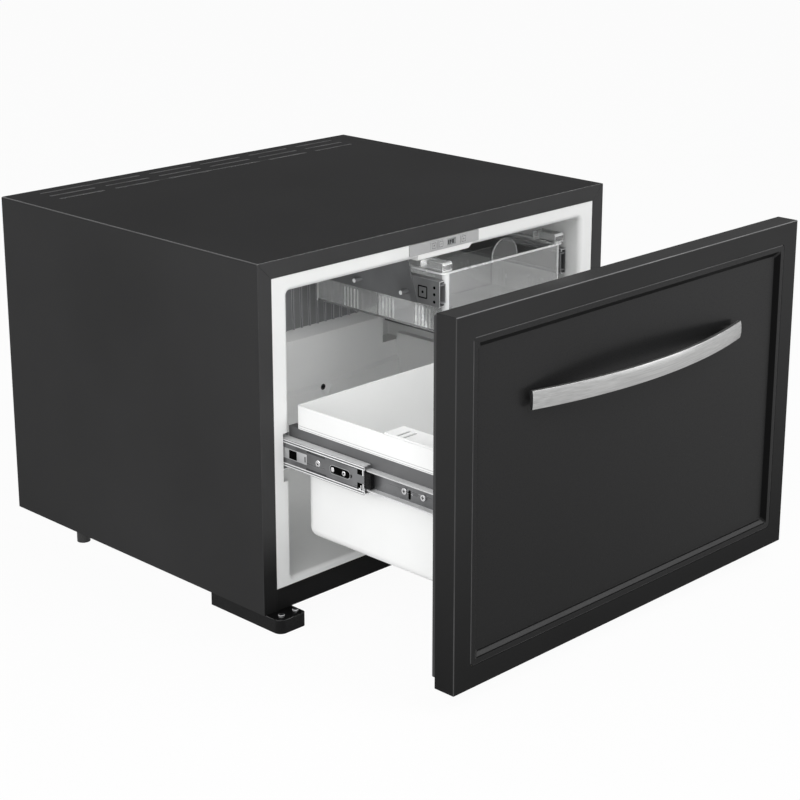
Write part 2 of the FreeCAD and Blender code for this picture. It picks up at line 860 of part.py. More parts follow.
# Liner, foam and back plate
def cavity_block(grow):
    """the cavity's space, grown on every side but the front"""
    piece = body()
    prism(piece, "YZ", [
        ("front - overrun", f"cavity_low - {grow}"),
        (f"cavity_back_low + {grow}", f"cavity_low - {grow}"),
        (f"cavity_back_low + {grow}", "slope_low"),
        (f"cavity_back + {grow}", "slope_high"),
        (f"cavity_back + {grow}", f"cavity_high + {grow}"),
        ("front - overrun", f"cavity_high + {grow}"),
    ], f"-cavity_half - {grow}", f"cavity_half + {grow}")
    return piece


def channel_box(grow, start):
    """the space of the left slide channel and its deeper pocket behind the back wall"""
    along = box((f"-channel_half - {grow}", "-cavity_half"), (start, f"channel_end + {grow}"),
                (f"channel_low - {grow}", f"channel_high + {grow}"))
    pocket = box((f"-channel_half - {grow}",
                  f"-channel_half + channel_pocket_width + {grow}"),
                 ("cavity_back_low", f"channel_end + {grow}"),
                 (f"channel_low - channel_pocket_drop - {grow}", f"channel_high + {grow}"))
    return fuse(along, pocket)


def gutter():
    """what the back wall stands proud by below the drain, with a slanted top and a dip at the drain"""
    wall, low = "cavity_half + overrun", "cavity_low - gutter_slant - overrun"
    dip = "drain_z - drain_radius - gutter_slant - contact_gap"
    outline = [(wall, low), (wall, "gutter_high"), ("drain_place + gutter_mouth", "gutter_low"),
               ("drain_place + drain_radius", dip), ("drain_place - drain_radius", dip),
               ("drain_place - gutter_mouth", "gutter_low"), (f"-({wall})", "gutter_high"),
               (f"-({wall})", low)]
    corners = [Vector(number(across), number("cavity_back_low - gutter_depth"), number(up))
               for across, up in outline]
    face = Part.Face(Part.makePolygon(corners + corners[:1]))
    slant = Vector(0, number("gutter_depth"), number("gutter_slant"))
    return feature(face.extrude(slant))


def liner_outside():
    """everything that the foam has to leave free for the liner"""
    grown = cut(cavity_block("liner_wall"),
                box(wide("half"), ("front - 2 * overrun", "face"), ("low", "high")))
    flange = box(wide("opening_half - seam_gap"), ("face", "face + liner_wall"),
                 ("opening_low + seam_gap", "opening_high - seam_gap"))
    lip = box(wide("cavity_half + lip_width"), ("face", "face + lip_depth"),
              ("cavity_low - sill_lip", "cavity_high + lip_width"))
    channel = channel_box("liner_wall", "face")
    controls = box(("-pocket_left - liner_wall", "pocket_right + liner_wall"),
                   ("face", "pocket_back + liner_wall"),
                   ("pocket_low - liner_wall", "opening_high - seam_gap"))
    return fuse(grown, flange, lip, channel, mirrored(channel), controls)


def clamp_box(place, grow="0"):
    return box((f"{place} - clamp_width / 2 - {grow}", f"{place} + clamp_width / 2 + {grow}"),
               ("plate_back", "evaporator_y - tube_radius"),
               (f"return_z - clamp_height / 2 - {grow}", f"return_z + clamp_height / 2 + {grow}"))


def evaporator_route():
    """the cold tube's route, out of the foam at both ends"""
    return [
        ("-condenser_end", "unit_y", "evaporator_z"),
        ("-evaporator_left", "unit_y", "evaporator_z"),
        ("-evaporator_left", "evaporator_y", "evaporator_z"),
        ("evaporator_right", "evaporator_y", "evaporator_z"),
        ("evaporator_right", "evaporator_y", "return_z"),
        ("-evaporator_left", "evaporator_y", "return_z"),
        ("-evaporator_left", "unit_y", "return_z"),
        ("-evaporator_left", "unit_y", "coil_z + coil_radius"),
    ]


def make_liner_and_foam():
    outside = liner_outside()
    inside = cavity_block("0")
    corners = [("cavity_half", "cavity_low"), ("cavity_half", "cavity_high"),
               ("-cavity_half", "cavity_low"), ("-cavity_half", "cavity_high")]
    round_body(inside, "cavity_corner", "Y", corners)
    hollow = cut(outside, cut(inside, gutter()))
    doc.recompute()
    edges = edges_on_plane(hollow.Shape, "Y", "face", "cavity_half + seam_gap")
    shell = rounded(hollow, "mouth_radius", edges)
    channel = channel_box("0", "front - overrun")
    controls = box(("-pocket_left", "pocket_right"), ("front - overrun", "pocket_back"),
                   ("pocket_low", "pocket_high"))
    lamp = box(("-lamp_left - contact_gap", "lamp_right + contact_gap"),
               ("front - overrun", "face + lamp_depth + contact_gap"),
               ("cavity_high - overrun", "lamp_high + contact_gap"))
    clamps = [clamp_box("clamp_spread", "contact_gap"), clamp_box("-clamp_spread", "contact_gap")]
    drain = rod("Y", "drain_radius + contact_gap",
                ("cavity_back_low - gutter_depth - overrun", "cavity_back"), ("drain_place", "drain_z"))
    finished("inner_liner",
             cut(shell, channel, mirrored(channel), controls, lamp, drain, *clamps))
    block = box(wide("half - sheet"), ("front + sheet", "plate_y"), ("low + sheet", "high - sheet"))
    bore = pipe(evaporator_route(), "tube_bend", "tube_radius + contact_gap")
    drain_bore = rod("Y", "drain_radius + contact_gap", ("cavity_back_low", "rear_y"),
                     ("drain_place", "drain_z"))
    wide_clamps = [clamp_box("clamp_spread", "contact_gap"),
                   clamp_box("-clamp_spread", "contact_gap")]
    finished("insulation_foam", cut(block, outside, bore, drain_bore, *wide_clamps))
    plate = body()
    prism(plate, "XZ", rectangle(wide("half - sheet"), ("low + sheet", "high - sheet")),
          "plate_y", "rear_y")
    holes = new_sketch(plate, "XZ", "plate_y - sheet")
    add_circle(holes, ("-evaporator_left", "evaporator_z"), "tube_radius + contact_gap")
    add_circle(holes, ("-evaporator_left", "return_z"), "tube_radius + contact_gap")
    add_circle(holes, ("drain_place", "drain_z"), "drain_radius + contact_gap")
    sink_sketch(plate, holes, "XZ", "plate_y - sheet", "rear_y + sheet")
    finished("back_plate", plate)


def make_evaporator():
    plate = body()
    prism(plate, "XZ", rectangle(wide("plate_half"), ("plate_low", "plate_high")),
          "plate_front", "plate_back")
    rib = prism(plate, "XZ",
                rectangle(("-plate_half", "plate_rib_width - plate_half"), ("plate_low", "plate_high")),
                "plate_front - plate_rib_depth", "plate_front + plate_thickness / 2")
    count = int(number("(2 * plate_half - plate_rib_width) / plate_rib_pitch")) + 1
    repeat(plate, rib, "X", f"({count} - 1) * plate_rib_pitch", count)
    finished("evaporator_plate", plate)
    finished("evaporator_clamps", group(clamp_box("clamp_spread"), clamp_box("-clamp_spread")))
    finished("evaporator_tube", pipe(evaporator_route(), "tube_bend", "tube_radius"))
    sensor = rod("Z", "sensor_radius", ("sensor_low", "sensor_low + sensor_length"),
                 ("sensor_place", "plate_front - plate_rib_depth - sensor_radius"))
    clip = box(("sensor_place - 2 * sensor_radius", "sensor_place + 2 * sensor_radius"),
               ("plate_front - plate_rib_depth - sensor_radius", "plate_front - plate_rib_depth"),
               ("sensor_low + sensor_length / 3", "sensor_low + sensor_length / 2"))
    finished("temperature_sensor", fuse(sensor, clip))


def make_drain():
    outer = rod("Y", "drain_radius", ("cavity_back_low", "rear_y + drain_drop"),
                ("drain_place", "drain_z"))
    spout = rod("Z", "drain_radius", ("drain_z - drain_drop", "drain_z + drain_radius"),
                ("drain_place", "rear_y + drain_drop"))
    bore = rod("Y", "drain_radius - drain_wall",
               ("cavity_back_low - overrun", "rear_y + drain_drop"), ("drain_place", "drain_z"))
    mouth = rod("Z", "drain_radius - drain_wall", ("drain_z - drain_drop - overrun", "drain_z"),
                ("drain_place", "rear_y + drain_drop"))
    finished("drain_tube", cut(fuse(outer, spout), bore, mouth))
    across = ("drip_tray_left", "drip_tray_right")
    tray = box(across, ("rear_y", "rear_y + drip_tray_depth"),
               ("low + drip_tray_level", "low + drip_tray_level + drip_tray_height"))
    inner = box((f"{across[0]} + drip_tray_wall", f"{across[1]} - drip_tray_wall"),
                ("rear_y + drip_tray_wall", "rear_y + drip_tray_depth - drip_tray_wall"),
                ("low + drip_tray_level + drip_tray_wall",
                 "low + drip_tray_level + drip_tray_height + overrun"))
    finished("drip_tray", cut(tray, inner))


# Slides of three members, made on the left and mirrored
def lipped_section(start, depth, height, lip, level):
    """a channel that opens to +X, with lips turned in"""
    low, high = f"{level} - {height} / 2", f"{level} + {height} / 2"
    end = f"{start} + {depth}"
    return [
        (start, low), (end, low), (end, f"{low} + {lip}"), (f"{end} - slide_gauge", f"{low} + {lip}"),
        (f"{end} - slide_gauge", f"{low} + slide_gauge"),
        (f"{start} + slide_gauge", f"{low} + slide_gauge"),
        (f"{start} + slide_gauge", f"{high} - slide_gauge"),
        (f"{end} - slide_gauge", f"{high} - slide_gauge"),
        (f"{end} - slide_gauge", f"{high} - {lip}"), (end, f"{high} - {lip}"),
        (end, high), (start, high),
    ]


def plain_section(start, depth, height, level):
    """a channel that opens to -X"""
    low, high = f"{level} - {height} / 2", f"{level} + {height} / 2"
    end = f"{start} + {depth}"
    return [
        (start, low), (end, low), (end, high), (start, high), (start, f"{high} - slide_gauge"),
        (f"{end} - slide_gauge", f"{high} - slide_gauge"),
        (f"{end} - slide_gauge", f"{low} + slide_gauge"), (start, f"{low} + slide_gauge"),
    ]


def member(section, start, length):
    piece = body()
    prism(piece, "XZ", section, start, f"{start} + {length}")
    return piece


def pierce(piece, holes, low, high):
    """round holes and slots through a web, each as start, end, level and radius"""
    sketch = new_sketch(piece, "YZ", low)
    for start, end, level, radius in holes:
        if start == end:
            add_circle(sketch, (start, level), radius)
        else:
            add_slot(sketch, start, end, level, radius)
    return sink_sketch(piece, sketch, "YZ", low, high)


def screw_places():
    """where the screws through the drawer member lie along Y"""
    return ["door_back + front_screw_from_door", "door_back + front_screw_from_door + screw_pitch",
            "rail_end - rear_screw_from_tail"]


def drawer_screw_row():
    """screws through the left drawer member into the drawer rail"""
    screws = []
    web = "-rail_half - slide_gauge"
    for place in screw_places():
        head = rod("X", "screw_head_radius", (f"{web} - screw_head_height", web), (place, "slide_z"))
        shank = rod("X", "screw_radius", (f"{web} - screw_head_height / 2",
                                          "-rail_half + rail_gauge + screw_head_height / 4"),
                    (place, "slide_z"))
        screws.append(fuse(head, shank))
    return screws


def make_drawer_slides():
    outer = member(lipped_section("-channel_half", "cabinet_member_depth", "cabinet_member_height",
                                  "cabinet_member_lip", "slide_z"),
                   "front + slide_setback", "slide_length")
    finished("slide_cabinet_left", outer)
    finished("slide_cabinet_right", mirrored(outer))
    start = "-channel_half + slide_gauge + slide_play"
    middle = member(lipped_section(start, "middle_member_depth", "middle_member_height",
                                   "middle_member_lip", "slide_z"), "middle_start", "slide_length")
    web = "slide_gauge"
    pierce(middle, [
        ("middle_start + 4 * web_step", "middle_start + 9 * web_step", "slide_z", "screw_radius"),
        ("middle_start + 14 * web_step", "middle_start + 14 * web_step", "slide_z",
         "screw_radius + slide_gauge"),
        ("middle_start + 20 * web_step", "middle_start + 22 * web_step", "slide_z",
         "screw_radius + slide_gauge"),
    ], f"{start} - {web}", f"{start} + 2 * {web}")
    finished("slide_middle_left", middle)
    finished("slide_middle_right", mirrored(middle))
    inner = member(plain_section("-rail_half - drawer_member_depth", "drawer_member_depth",
                                 "drawer_member_height", "slide_z"), "drawer_start", "slide_length")
    low, high = "-rail_half - 2 * slide_gauge", "-rail_half + slide_gauge"
    holes = [(place, place, "slide_z", "screw_radius + screw_fit") for place in screw_places()]
    holes.append(("door_back + front_screw_from_door + 2 * web_step",
                  "door_back + front_screw_from_door + 3 * web_step", "slide_z", "screw_radius"))
    pierce(inner, holes, low, high)
    finished("slide_drawer_left", inner)
    finished("slide_drawer_right", mirrored(inner))
    stop = box((f"{start} + slide_gauge", f"{start} + slide_gauge + stop_thickness"),
               ("middle_start", "middle_start + stop_length"),
               ("slide_z - stop_height / 2", "slide_z + stop_height / 2"))
    finished("slide_stops", group(stop, mirrored(stop)))
    screws = drawer_screw_row()
    finished("drawer_screws", group(*screws, *(mirrored(screw) for screw in screws)))


def cage(across, level, start, length, radius):
    """a strip with loose balls in it"""
    strip = box((f"{across} - cage_width / 2", f"{across} + cage_width / 2"),
                (start, f"{start} + {length}"),
                (f"{level} - cage_gauge / 2", f"{level} + cage_gauge / 2"))
    balls = []
    count = int(number("ball_count"))
    for turn in range(count):
        place = f"{start} + ({turn} + 1 / 2) * {length} / ball_count"
        hole = rod("Z", f"{radius} + cage_play", (f"{level} - cage_gauge", f"{level} + cage_gauge"),
                   (across, place))
        strip = cut(strip, hole)
        balls.append(ball(radius, (across, place, level)))
    return [strip] + balls


def cage_pair(across, gap_low, gap_high, centre, start, length, radius):
    """cages above and below a member, in the middle of the gap between two flanges"""
    offset = f"(({gap_low}) + ({gap_high})) / 2"
    return (cage(across, f"{centre} + {offset}", start, length, radius)
            + cage(across, f"{centre} - {offset}", start, length, radius))


def make_cages():
    wall = "-channel_half"
    outer = cage_pair(f"{wall} + (cabinet_member_depth + slide_play) / 2", "middle_member_height / 2",
                      "cabinet_member_height / 2 - slide_gauge", "slide_z",
                      "front + outer_cage_start", "cage_length", "outer_ball_radius")
    finished("outer_ball_cages", group(*outer, *(mirrored(item) for item in outer)))
    inner = cage_pair(f"{wall} + slide_thickness - drawer_member_depth + cage_width / 2"
                      " + inner_cage_play",
                      "drawer_member_height / 2", "middle_member_height / 2 - slide_gauge",
                      "slide_z", "front + inner_cage_start", "cage_length", "inner_ball_radius")
    finished("inner_ball_cages", group(*inner, *(mirrored(item) for item in inner)))
    tray = cage_pair("tray_left + tray_slide_thickness - tray_slide_inner_depth + cage_width / 2"
                     " + cage_play",
                     "tray_slide_inner_height / 2", "tray_slide_outer_height / 2 - slide_gauge",
                     "tray_z", "front + tray_cage_start", "tray_cage_length", "inner_ball_radius")
    finished("tray_ball_cages",
             group(*tray, *(mirrored(item, "tray_centre") for item in tray)))


# Door
def make_door():
    block = box(wide("door_half"), ("door_front", "door_back"), ("door_low", "door_high"))
    doc.recompute()
    edges = [edge for axis, spots in (
        ("X", [("door_front", "door_low"), ("door_front", "door_high")]),
        ("Z", [("door_half", "door_front"), ("-door_half", "door_front")]),
        ("Y", [("door_half", "door_low"), ("door_half", "door_high"),
               ("-door_half", "door_low"), ("-door_half", "door_high")]))
        for edge in edges_along(block.Shape, axis, spots)]
    skin = rounded(block, "door_edge_radius", edges)
    inner = (wide("door_half - door_sheet"), ("door_low + door_sheet", "door_high - door_sheet"))
    hollow = box(inner[0], ("door_front + door_sheet", "door_back + overrun"), inner[1])
    window = rounded_box(wide("door_half - window_inset"),
                         ("door_front - overrun", "door_front + 2 * door_sheet"),
                         ("door_low + window_inset", "door_high - window_inset"), "window_corner")
    finished("door_skin", cut(skin, hollow, window))
    panel_box = rounded_box(wide("door_half - window_inset - seam_gap"),
                            ("door_front", "door_front + panel_thickness"),
                            ("door_low + window_inset + seam_gap",
                             "door_high - window_inset - seam_gap"), "window_corner - seam_gap")
    edges = edges_on_plane(panel_box.Shape, "Y", "door_front", "door_half")
    panel = rounded(panel_box, "groove_chamfer", edges, "Part::Chamfer")
    finished("door_panel", cut(panel, recess_tool()))
    foam = box(inner[0], ("door_front + door_sheet", "door_back - door_sheet"), inner[1])
    finished("door_foam", cut(foam, panel_box))
    finished("door_inner_pan", box(inner[0], ("door_back - door_sheet", "door_back"), inner[1]))
    outer = (wide("door_half - gasket_margin_side"),
             ("door_low + gasket_margin_bottom", "door_high - gasket_margin_top"))
    ring = box(outer[0], ("door_back", "door_back + gasket_thickness"), outer[1])
    middle = box(wide("door_half - gasket_margin_side - gasket_width"),
                 ("door_back - overrun", "door_back + gasket_thickness + overrun"),
                 ("door_low + gasket_margin_bottom + gasket_width",
                  "door_high - gasket_margin_top - gasket_width"))
    finished("door_gasket", cut(ring, middle))


def recess_tool():
    """the bevelled hollow of the door panel's front"""
    wedge = doc.addObject("Part::Wedge", "wedge")
    bind(wedge, {
        "Ymin": "0", "Ymax": "recess_depth",
        "Xmin": "recess_inset - door_half", "Xmax": "door_half - recess_inset",
        "X2min": "recess_inset + recess_bevel - door_half",
        "X2max": "door_half - recess_inset - recess_bevel",
        "Zmin": "recess_inset", "Zmax": "door_height - recess_inset",
        "Z2min": "recess_inset + recess_bevel",
        "Z2max": "door_height - recess_inset - recess_bevel",
        "Placement.Base.y": "door_front", "Placement.Base.z": "door_low",
    })
    doc.recompute()
    slanted = []
    for count, edge in enumerate(wedge.Shape.Edges, 1):
        first, last = (vertex.Point for vertex in edge.Vertexes)
        if abs(first.y - last.y) > CLOSE:
            slanted.append(count)
    return rounded(wedge, "recess_corner", slanted)


def make_handle():
    """a bowed strap, crowned in front, on two short bosses"""
    strap = body()
    sketch = new_sketch(strap, "YZ", "0")
    crown_shares = ((-1, 1), (-0.75, 0.45), (-0.35, 0), (0.35, 0), (0.75, 0.45), (1, 1))
    points = [(f"-handle_radius + handle_crown * {depth}",
               f"handle_z + handle_height / 2 * {share}") for share, depth in crown_shares]
    points += [("-handle_radius + handle_thickness", f"handle_z + handle_height / 2 * {side}")
               for side in (1, -1)]
    add_outline(sketch, points)
    turn = strap.newObject("PartDesign::Revolution", "turn")
    turn.Profile = sketch
    turn.ReferenceAxis = (sketch, ["V_Axis"])
    turn.Midplane = True
    bind(turn, {"Angle": "handle_angle"})
    bind(strap, {"Placement.Base.y": "door_front - handle_reach + handle_radius"})
    doc.recompute()
    half_span = number("handle_radius") * math.sin(math.radians(number("handle_angle") / 2))
    place = half_span - number("handle_boss_inset")
    middle_radius = number("handle_radius - handle_thickness / 2")
    centre = number("door_front - handle_reach + handle_radius")
    root = centre - math.sqrt(middle_radius ** 2 - place ** 2)
    bosses = []
    for side in (-1, 1):
        start = Vector(side * place, root, number("handle_z"))
        length = number("panel_floor") - root
        bosses.append(feature(Part.makeCylinder(number("handle_boss_radius"), length, start,
                                                Vector(0, 1, 0))))
    finished("handle", fuse(strap, *bosses))


# Basket and its rails
def basket_form(shrink, top):
    """the basket's outer or inner form: a deep body under a wider band, flush at the rear"""
    deep = box(wide(f"basket_half - {shrink}"),
               (f"door_back + {shrink}", f"basket_back - {shrink}"),
               (f"basket_low + {shrink}", top))
    doc.recompute()
    spots = {"Y": [(f"{sign}(basket_half - {shrink})", f"basket_low + {shrink}") for sign in ("", "-")],
             "X": [(f"basket_back - {shrink}", f"basket_low + {shrink}")],
             "Z": [(f"{sign}(basket_half - {shrink})", f"basket_back - {shrink}")
                   for sign in ("", "-")]}
    edges = [edge for axis, places in spots.items() for edge in edges_along(deep.Shape, axis, places)]
    lower = rounded(deep, f"basket_radius - {shrink}", edges)
    band = box(wide(f"band_half - {shrink}"), (f"door_back + {shrink}", f"basket_back - {shrink}"),
               (f"band_low + {shrink}", top))
    doc.recompute()
    spots = [(f"{sign}(band_half - {shrink})", f"basket_back - {shrink}") for sign in ("", "-")]
    upper = rounded(band, f"band_radius - {shrink}", edges_along(band.Shape, "Z", spots))
    return lower, upper


def make_basket():
    outer = basket_form("0", "basket_high")
    inner = basket_form("basket_wall", "basket_high + overrun")
    finished("drawer_basket", cut(fuse(*outer), *inner))
    upright = box(("-rail_half", "-rail_half + rail_gauge"), ("door_back", "rail_end"),
                  ("band_low - rail_height", "band_low"))
    flange = box(("-rail_half", "-basket_half - contact_gap"), ("door_back", "rail_end"),
                 ("band_low - rail_gauge", "band_low"))
    tab = box(("-rail_half", "-rail_half + rail_tab"), ("door_back", "door_back + rail_gauge"),
              ("band_low - rail_height", "band_low"))
    holes = [rod("X", "screw_radius + screw_fit", ("-rail_half - overrun", "-rail_half + overrun"),
                 (place, "slide_z")) for place in screw_places()]
    rail = cut(fuse(upright, flange, tab), *holes)
    finished("drawer_side_rails", group(rail, mirrored(rail)))


def make_rack():
    """a rack for bottles that hangs across the basket on the band's rim"""
    rest = "basket_high + contact_gap"
    top = f"{rest} + rack_plate_thickness"
    walls = [box(wide("rack_half"), (place, f"{place} + rack_wall"), ("rack_low", top))
             for place in ("rack_front", "rack_front + rack_depth")]
    plates = [box(("-band_half", "-band_half + rack_plate_width"),
                  ("rack_front", "rack_front + rack_plate_depth"), (rest, top))]
    for turn in range(2):
        place = f"rack_front + rack_plate_depth - rack_slot_rear_margin - {turn} * rack_slot_pitch"
        slot = box(("-band_half + basket_wall + contact_gap",
                    "-band_half + basket_wall + contact_gap + rack_slot_length"),
                   (f"{place} - rack_slot_width / 2", f"{place} + rack_slot_width / 2"),
                   (f"{rest} - overrun", f"{top} + overrun"))
        plates[0] = cut(plates[0], slot)
    plates.append(mirrored(plates[0]))
    count = int(number("rack_bar_count"))
    bars = []
    for turn in range(count):
        place = f"-rack_half + ({turn} + 1 / 2) * 2 * rack_half / rack_bar_count"
        bars.append(box((f"{place} - rack_bar / 2", f"{place} + rack_bar / 2"),
                        ("rack_front", "rack_front + rack_depth + rack_wall"),
                        ("rack_low", "rack_low + rack_bar")))
    finished("bottle_rack", fuse(*walls, *plates, *bars))


# Tray, its slides and brackets
def make_tray_slides():
    outer = member(lipped_section("tray_left", "tray_slide_outer_depth", "tray_slide_outer_height",
                                  "tray_slide_outer_lip", "tray_z"), "tray_front", "tray_slide_length")
    finished("tray_slide_rails", group(outer, mirrored(outer, "tray_centre")))
    start = "tray_left + tray_slide_thickness - tray_slide_inner_depth"
    inner = member(plain_section(start, "tray_slide_inner_depth", "tray_slide_inner_height",
                                 "tray_z"), "tray_front", "tray_slide_length")
    finished("tray_slide_runners", group(inner, mirrored(inner, "tray_centre")))


def make_tray_brackets():
    left = "tray_left - bracket_thickness"
    plate = body()
    prism(plate, "YZ", [
        ("bracket_front_y", "bracket_low"),
        ("bracket_back_y", "bracket_low"),
        ("bracket_back_y", "cavity_high"),
        ("bracket_front_y + bracket_lean", "cavity_high"),
    ], left, "tray_left")
    flange = box((f"{left} - bracket_flange", "tray_left"),
                 ("bracket_front_y + bracket_lean", "bracket_back_y"),
                 ("cavity_high - bracket_thickness", "cavity_high"))
    pins = []
    for turn in range(2):
        spot = (f"bracket_pin_y + {turn} * bracket_pin_pitch", "bracket_low + bracket_pin_rise")
        pins.append(rod("X", "bracket_pin_radius", (f"{left} - bracket_pin_length", left), spot))
    finished("tray_bracket_left", fuse(plate, flange, *pins))
    wall = box(("tray_right", "cavity_half"), ("front + wall_bracket_front", "bracket_back_y"),
               ("tray_z - wall_bracket_height / 2", "tray_z + wall_bracket_height / 2"))
    finished("tray_bracket_right", wall)


def make_tray():
    across = ("tray_centre - tray_half", "tray_centre + tray_half")
    along = ("tray_front", "tray_back")
    outer = rounded_box(across, along, ("tray_low", "tray_high"), "tray_corner", "Z")
    rim = rounded_box((f"{across[0]} - tray_rim", f"{across[1]} + tray_rim"),
                      (along[0], f"{along[1]} + tray_rim"),
                      ("tray_high - tray_rim_thickness", "tray_high"), "tray_corner", "Z")
    tab = rod("Y", "tray_tab_radius", (along[0], f"{along[0]} + tray_wall"),
              ("tray_centre", "tray_high + tray_tab_rise"))
    inner = rounded_box((f"{across[0]} + tray_wall", f"{across[1]} - tray_wall"),
                        (f"{along[0]} + tray_wall", f"{along[1]} - tray_wall"),
                        ("tray_low + tray_wall", "tray_high + overrun"), "tray_corner - tray_wall", "Z")
    shell = cut(fuse(outer, rim, tab), inner)
    extras = [box((f"{across[0]} + tray_wall / 2", f"{across[1]} - tray_wall / 2"),
                  (f"{along[0]} + tray_divider_from_front",
                   f"{along[0]} + tray_divider_from_front + tray_wall"),
                  ("tray_low + tray_wall / 2", "tray_low + tray_divider_height"))]
    for side, wall in ((1, f"{across[0]} + tray_wall"), (-1, f"{across[1]} - tray_wall")):
        for cluster in range(int(number("tray_rib_groups"))):
            for turn in range(int(number("tray_rib_count"))):
                start = (f"{along[0]} + tray_rib_from_front + {cluster} * tray_rib_group_pitch"
                         f" + {turn} * tray_rib_pitch")
                inward = (f"{wall} - tray_wall / 2", f"{wall} + tray_rib_depth")
                if side < 0:
                    inward = (f"{wall} - tray_rib_depth", f"{wall} + tray_wall / 2")
                extras.append(box(inward, (start, f"{start} + tray_rib_width"),
                                  ("tray_low + tray_wall / 2", "tray_low + tray_rib_height")))
    finished("bottle_tray", fuse(shell, *extras))
    clip = rounded_box((f"{across[0]} - tray_rim", f"{across[0]} - tray_rim + clip_width"),
                       (along[0], f"{along[0]} + clip_length"),
                       ("tray_high", "tray_high + clip_height"), "clip_radius", "X")
    finished("tray_clips", group(clip, mirrored(clip, "tray_centre")))


# Controls and lamp
def make_controls():
    plate = rounded_box(("-panel_left", "panel_right"), ("panel_front", "face"),
                        ("panel_low", "panel_high"), "key_flange_gauge")
    holes = [key_box(place, "key_gap", ("panel_front - overrun", "face + overrun"))
             for place in ("light_key_place", "down_key_place", "up_key_place")]
    display = display_box("0", ("panel_front - overrun", "face + overrun"))
    finished("control_panel", cut(plate, display, *holes))
    finished("display_window", display_box("contact_gap", ("panel_front", "face")))
    board = box(("-pocket_left + pocket_depth / 4", "pocket_right - pocket_depth / 4"),
                ("board_y", "board_y + board_gauge"),
                ("pocket_low + contact_gap", "pocket_high - contact_gap"))
    posts = [rod("Y", "board_post_radius", ("board_y", "pocket_back"), (place, "key_z"))
             for place in ("-pocket_left + pocket_depth", "pocket_right - pocket_depth")]
    switches = [box((f"{place} - switch_size / 2", f"{place} + switch_size / 2"),
                    ("switch_y", "board_y"),
                    ("key_z - switch_size / 2", "key_z + switch_size / 2"))
                for place in ("light_key_place", "down_key_place", "up_key_place")]
    finished("control_board", fuse(board, *posts, *switches))
    for name in ("light", "down", "up"):
        place = f"{name}_key_place"
        cap = key_box(place, "0", ("panel_front - key_proud", "face + key_flange_gauge"))
        flange = key_box(place, "key_flange", ("face + contact_gap",
                                               "face + contact_gap + key_flange_gauge"))
        stem = rod("Y", "key_stem_radius", ("face", "switch_y - key_switch_gap"), (place, "key_z"))
        finished(f"key_{name}", fuse(cap, flange, stem))
    lens = body()
    prism(lens, "XZ", [("-lamp_left", "lamp_low"), ("lamp_right - lamp_taper", "lamp_low"),
                       ("lamp_right", "lamp_high"), ("-lamp_left", "lamp_high")],
          "face - lamp_proud", "face + lamp_depth")
    round_body(lens, "lamp_radius", "X", [("face - lamp_proud", "lamp_low")])
    finished("lamp_lens", lens)


def key_box(place, grow, along):
    return box((f"{place} - key_size / 2 - {grow}", f"{place} + key_size / 2 + {grow}"), along,
               (f"key_z - key_size / 2 - {grow}", f"key_z + key_size / 2 + {grow}"))


def display_box(shrink, along):
    return box((f"display_place - display_width / 2 + {shrink}",
                f"display_place + display_width / 2 - {shrink}"), along,
               (f"key_z - display_height / 2 + {shrink}", f"key_z + display_height / 2 - {shrink}"))


# Cooling unit
def make_boiler():
    middle = ("boiler_place", "unit_y")
    finished("boiler_tube", rod("Z", "boiler_radius", ("boiler_bottom", "boiler_top"), middle))
    across = ("jacket_left", "jacket_right")
    along = ("jacket_front", "jacket_back")
    outer = box(across, along, ("jacket_bottom", "jacket_top"))
    inner_spans = [(f"{span[0]} + jacket_gauge", f"{span[1]} - jacket_gauge")
                   for span in (across, along, ("jacket_bottom", "jacket_top"))]
    hole = rod("Z", "boiler_radius + contact_gap",
               ("jacket_bottom - overrun", "jacket_top + overrun"), middle)
    finished("boiler_jacket", cut(outer, box(*inner_spans), hole))
    heater_spot = ("boiler_place + heater_offset", "unit_y")
    heater_span = ("jacket_bottom + overrun", "jacket_bottom + overrun + heater_length")
    heater_hole = rod("Z", "heater_radius + contact_gap", heater_span, heater_spot)
    finished("boiler_wool", cut(box(*inner_spans), hole, heater_hole))
    finished("heater_cartridge", rod("Z", "heater_radius", heater_span, heater_spot))


def make_condenser():
    route = [("boiler_place", "unit_y", "boiler_top"), ("boiler_place", "unit_y", "evaporator_z"),
             ("-condenser_end", "unit_y", "evaporator_z")]
    finished("condenser_tube", pipe(route, "rectifier_bend", "tube_radius"))
    piece = body()
    start = "-(fin_count - 1) * fin_pitch / 2 - fin_gauge / 2"
    sketch = new_sketch(piece, "YZ", start)
    add_outline(sketch, rectangle(("unit_y - fin_depth / 2", "unit_y + fin_depth / 2"),
                                  ("evaporator_z - fin_height / 2", "evaporator_z + fin_height / 2")))
    add_circle(sketch, ("unit_y", "evaporator_z"), "tube_radius + contact_gap")
    raise_sketch(piece, sketch, "YZ", "0", "fin_gauge")
    fins = [piece]
    for turn in range(1, int(number("fin_count"))):
        fin = doc.addObject("Part::Feature", "fin")
        fin.Shape = piece.Shape
        fin.setExpression("Placement.Base.x", named(f"{turn} * fin_pitch"))
        fins.append(fin)
    finished("condenser_fins", group(*fins))


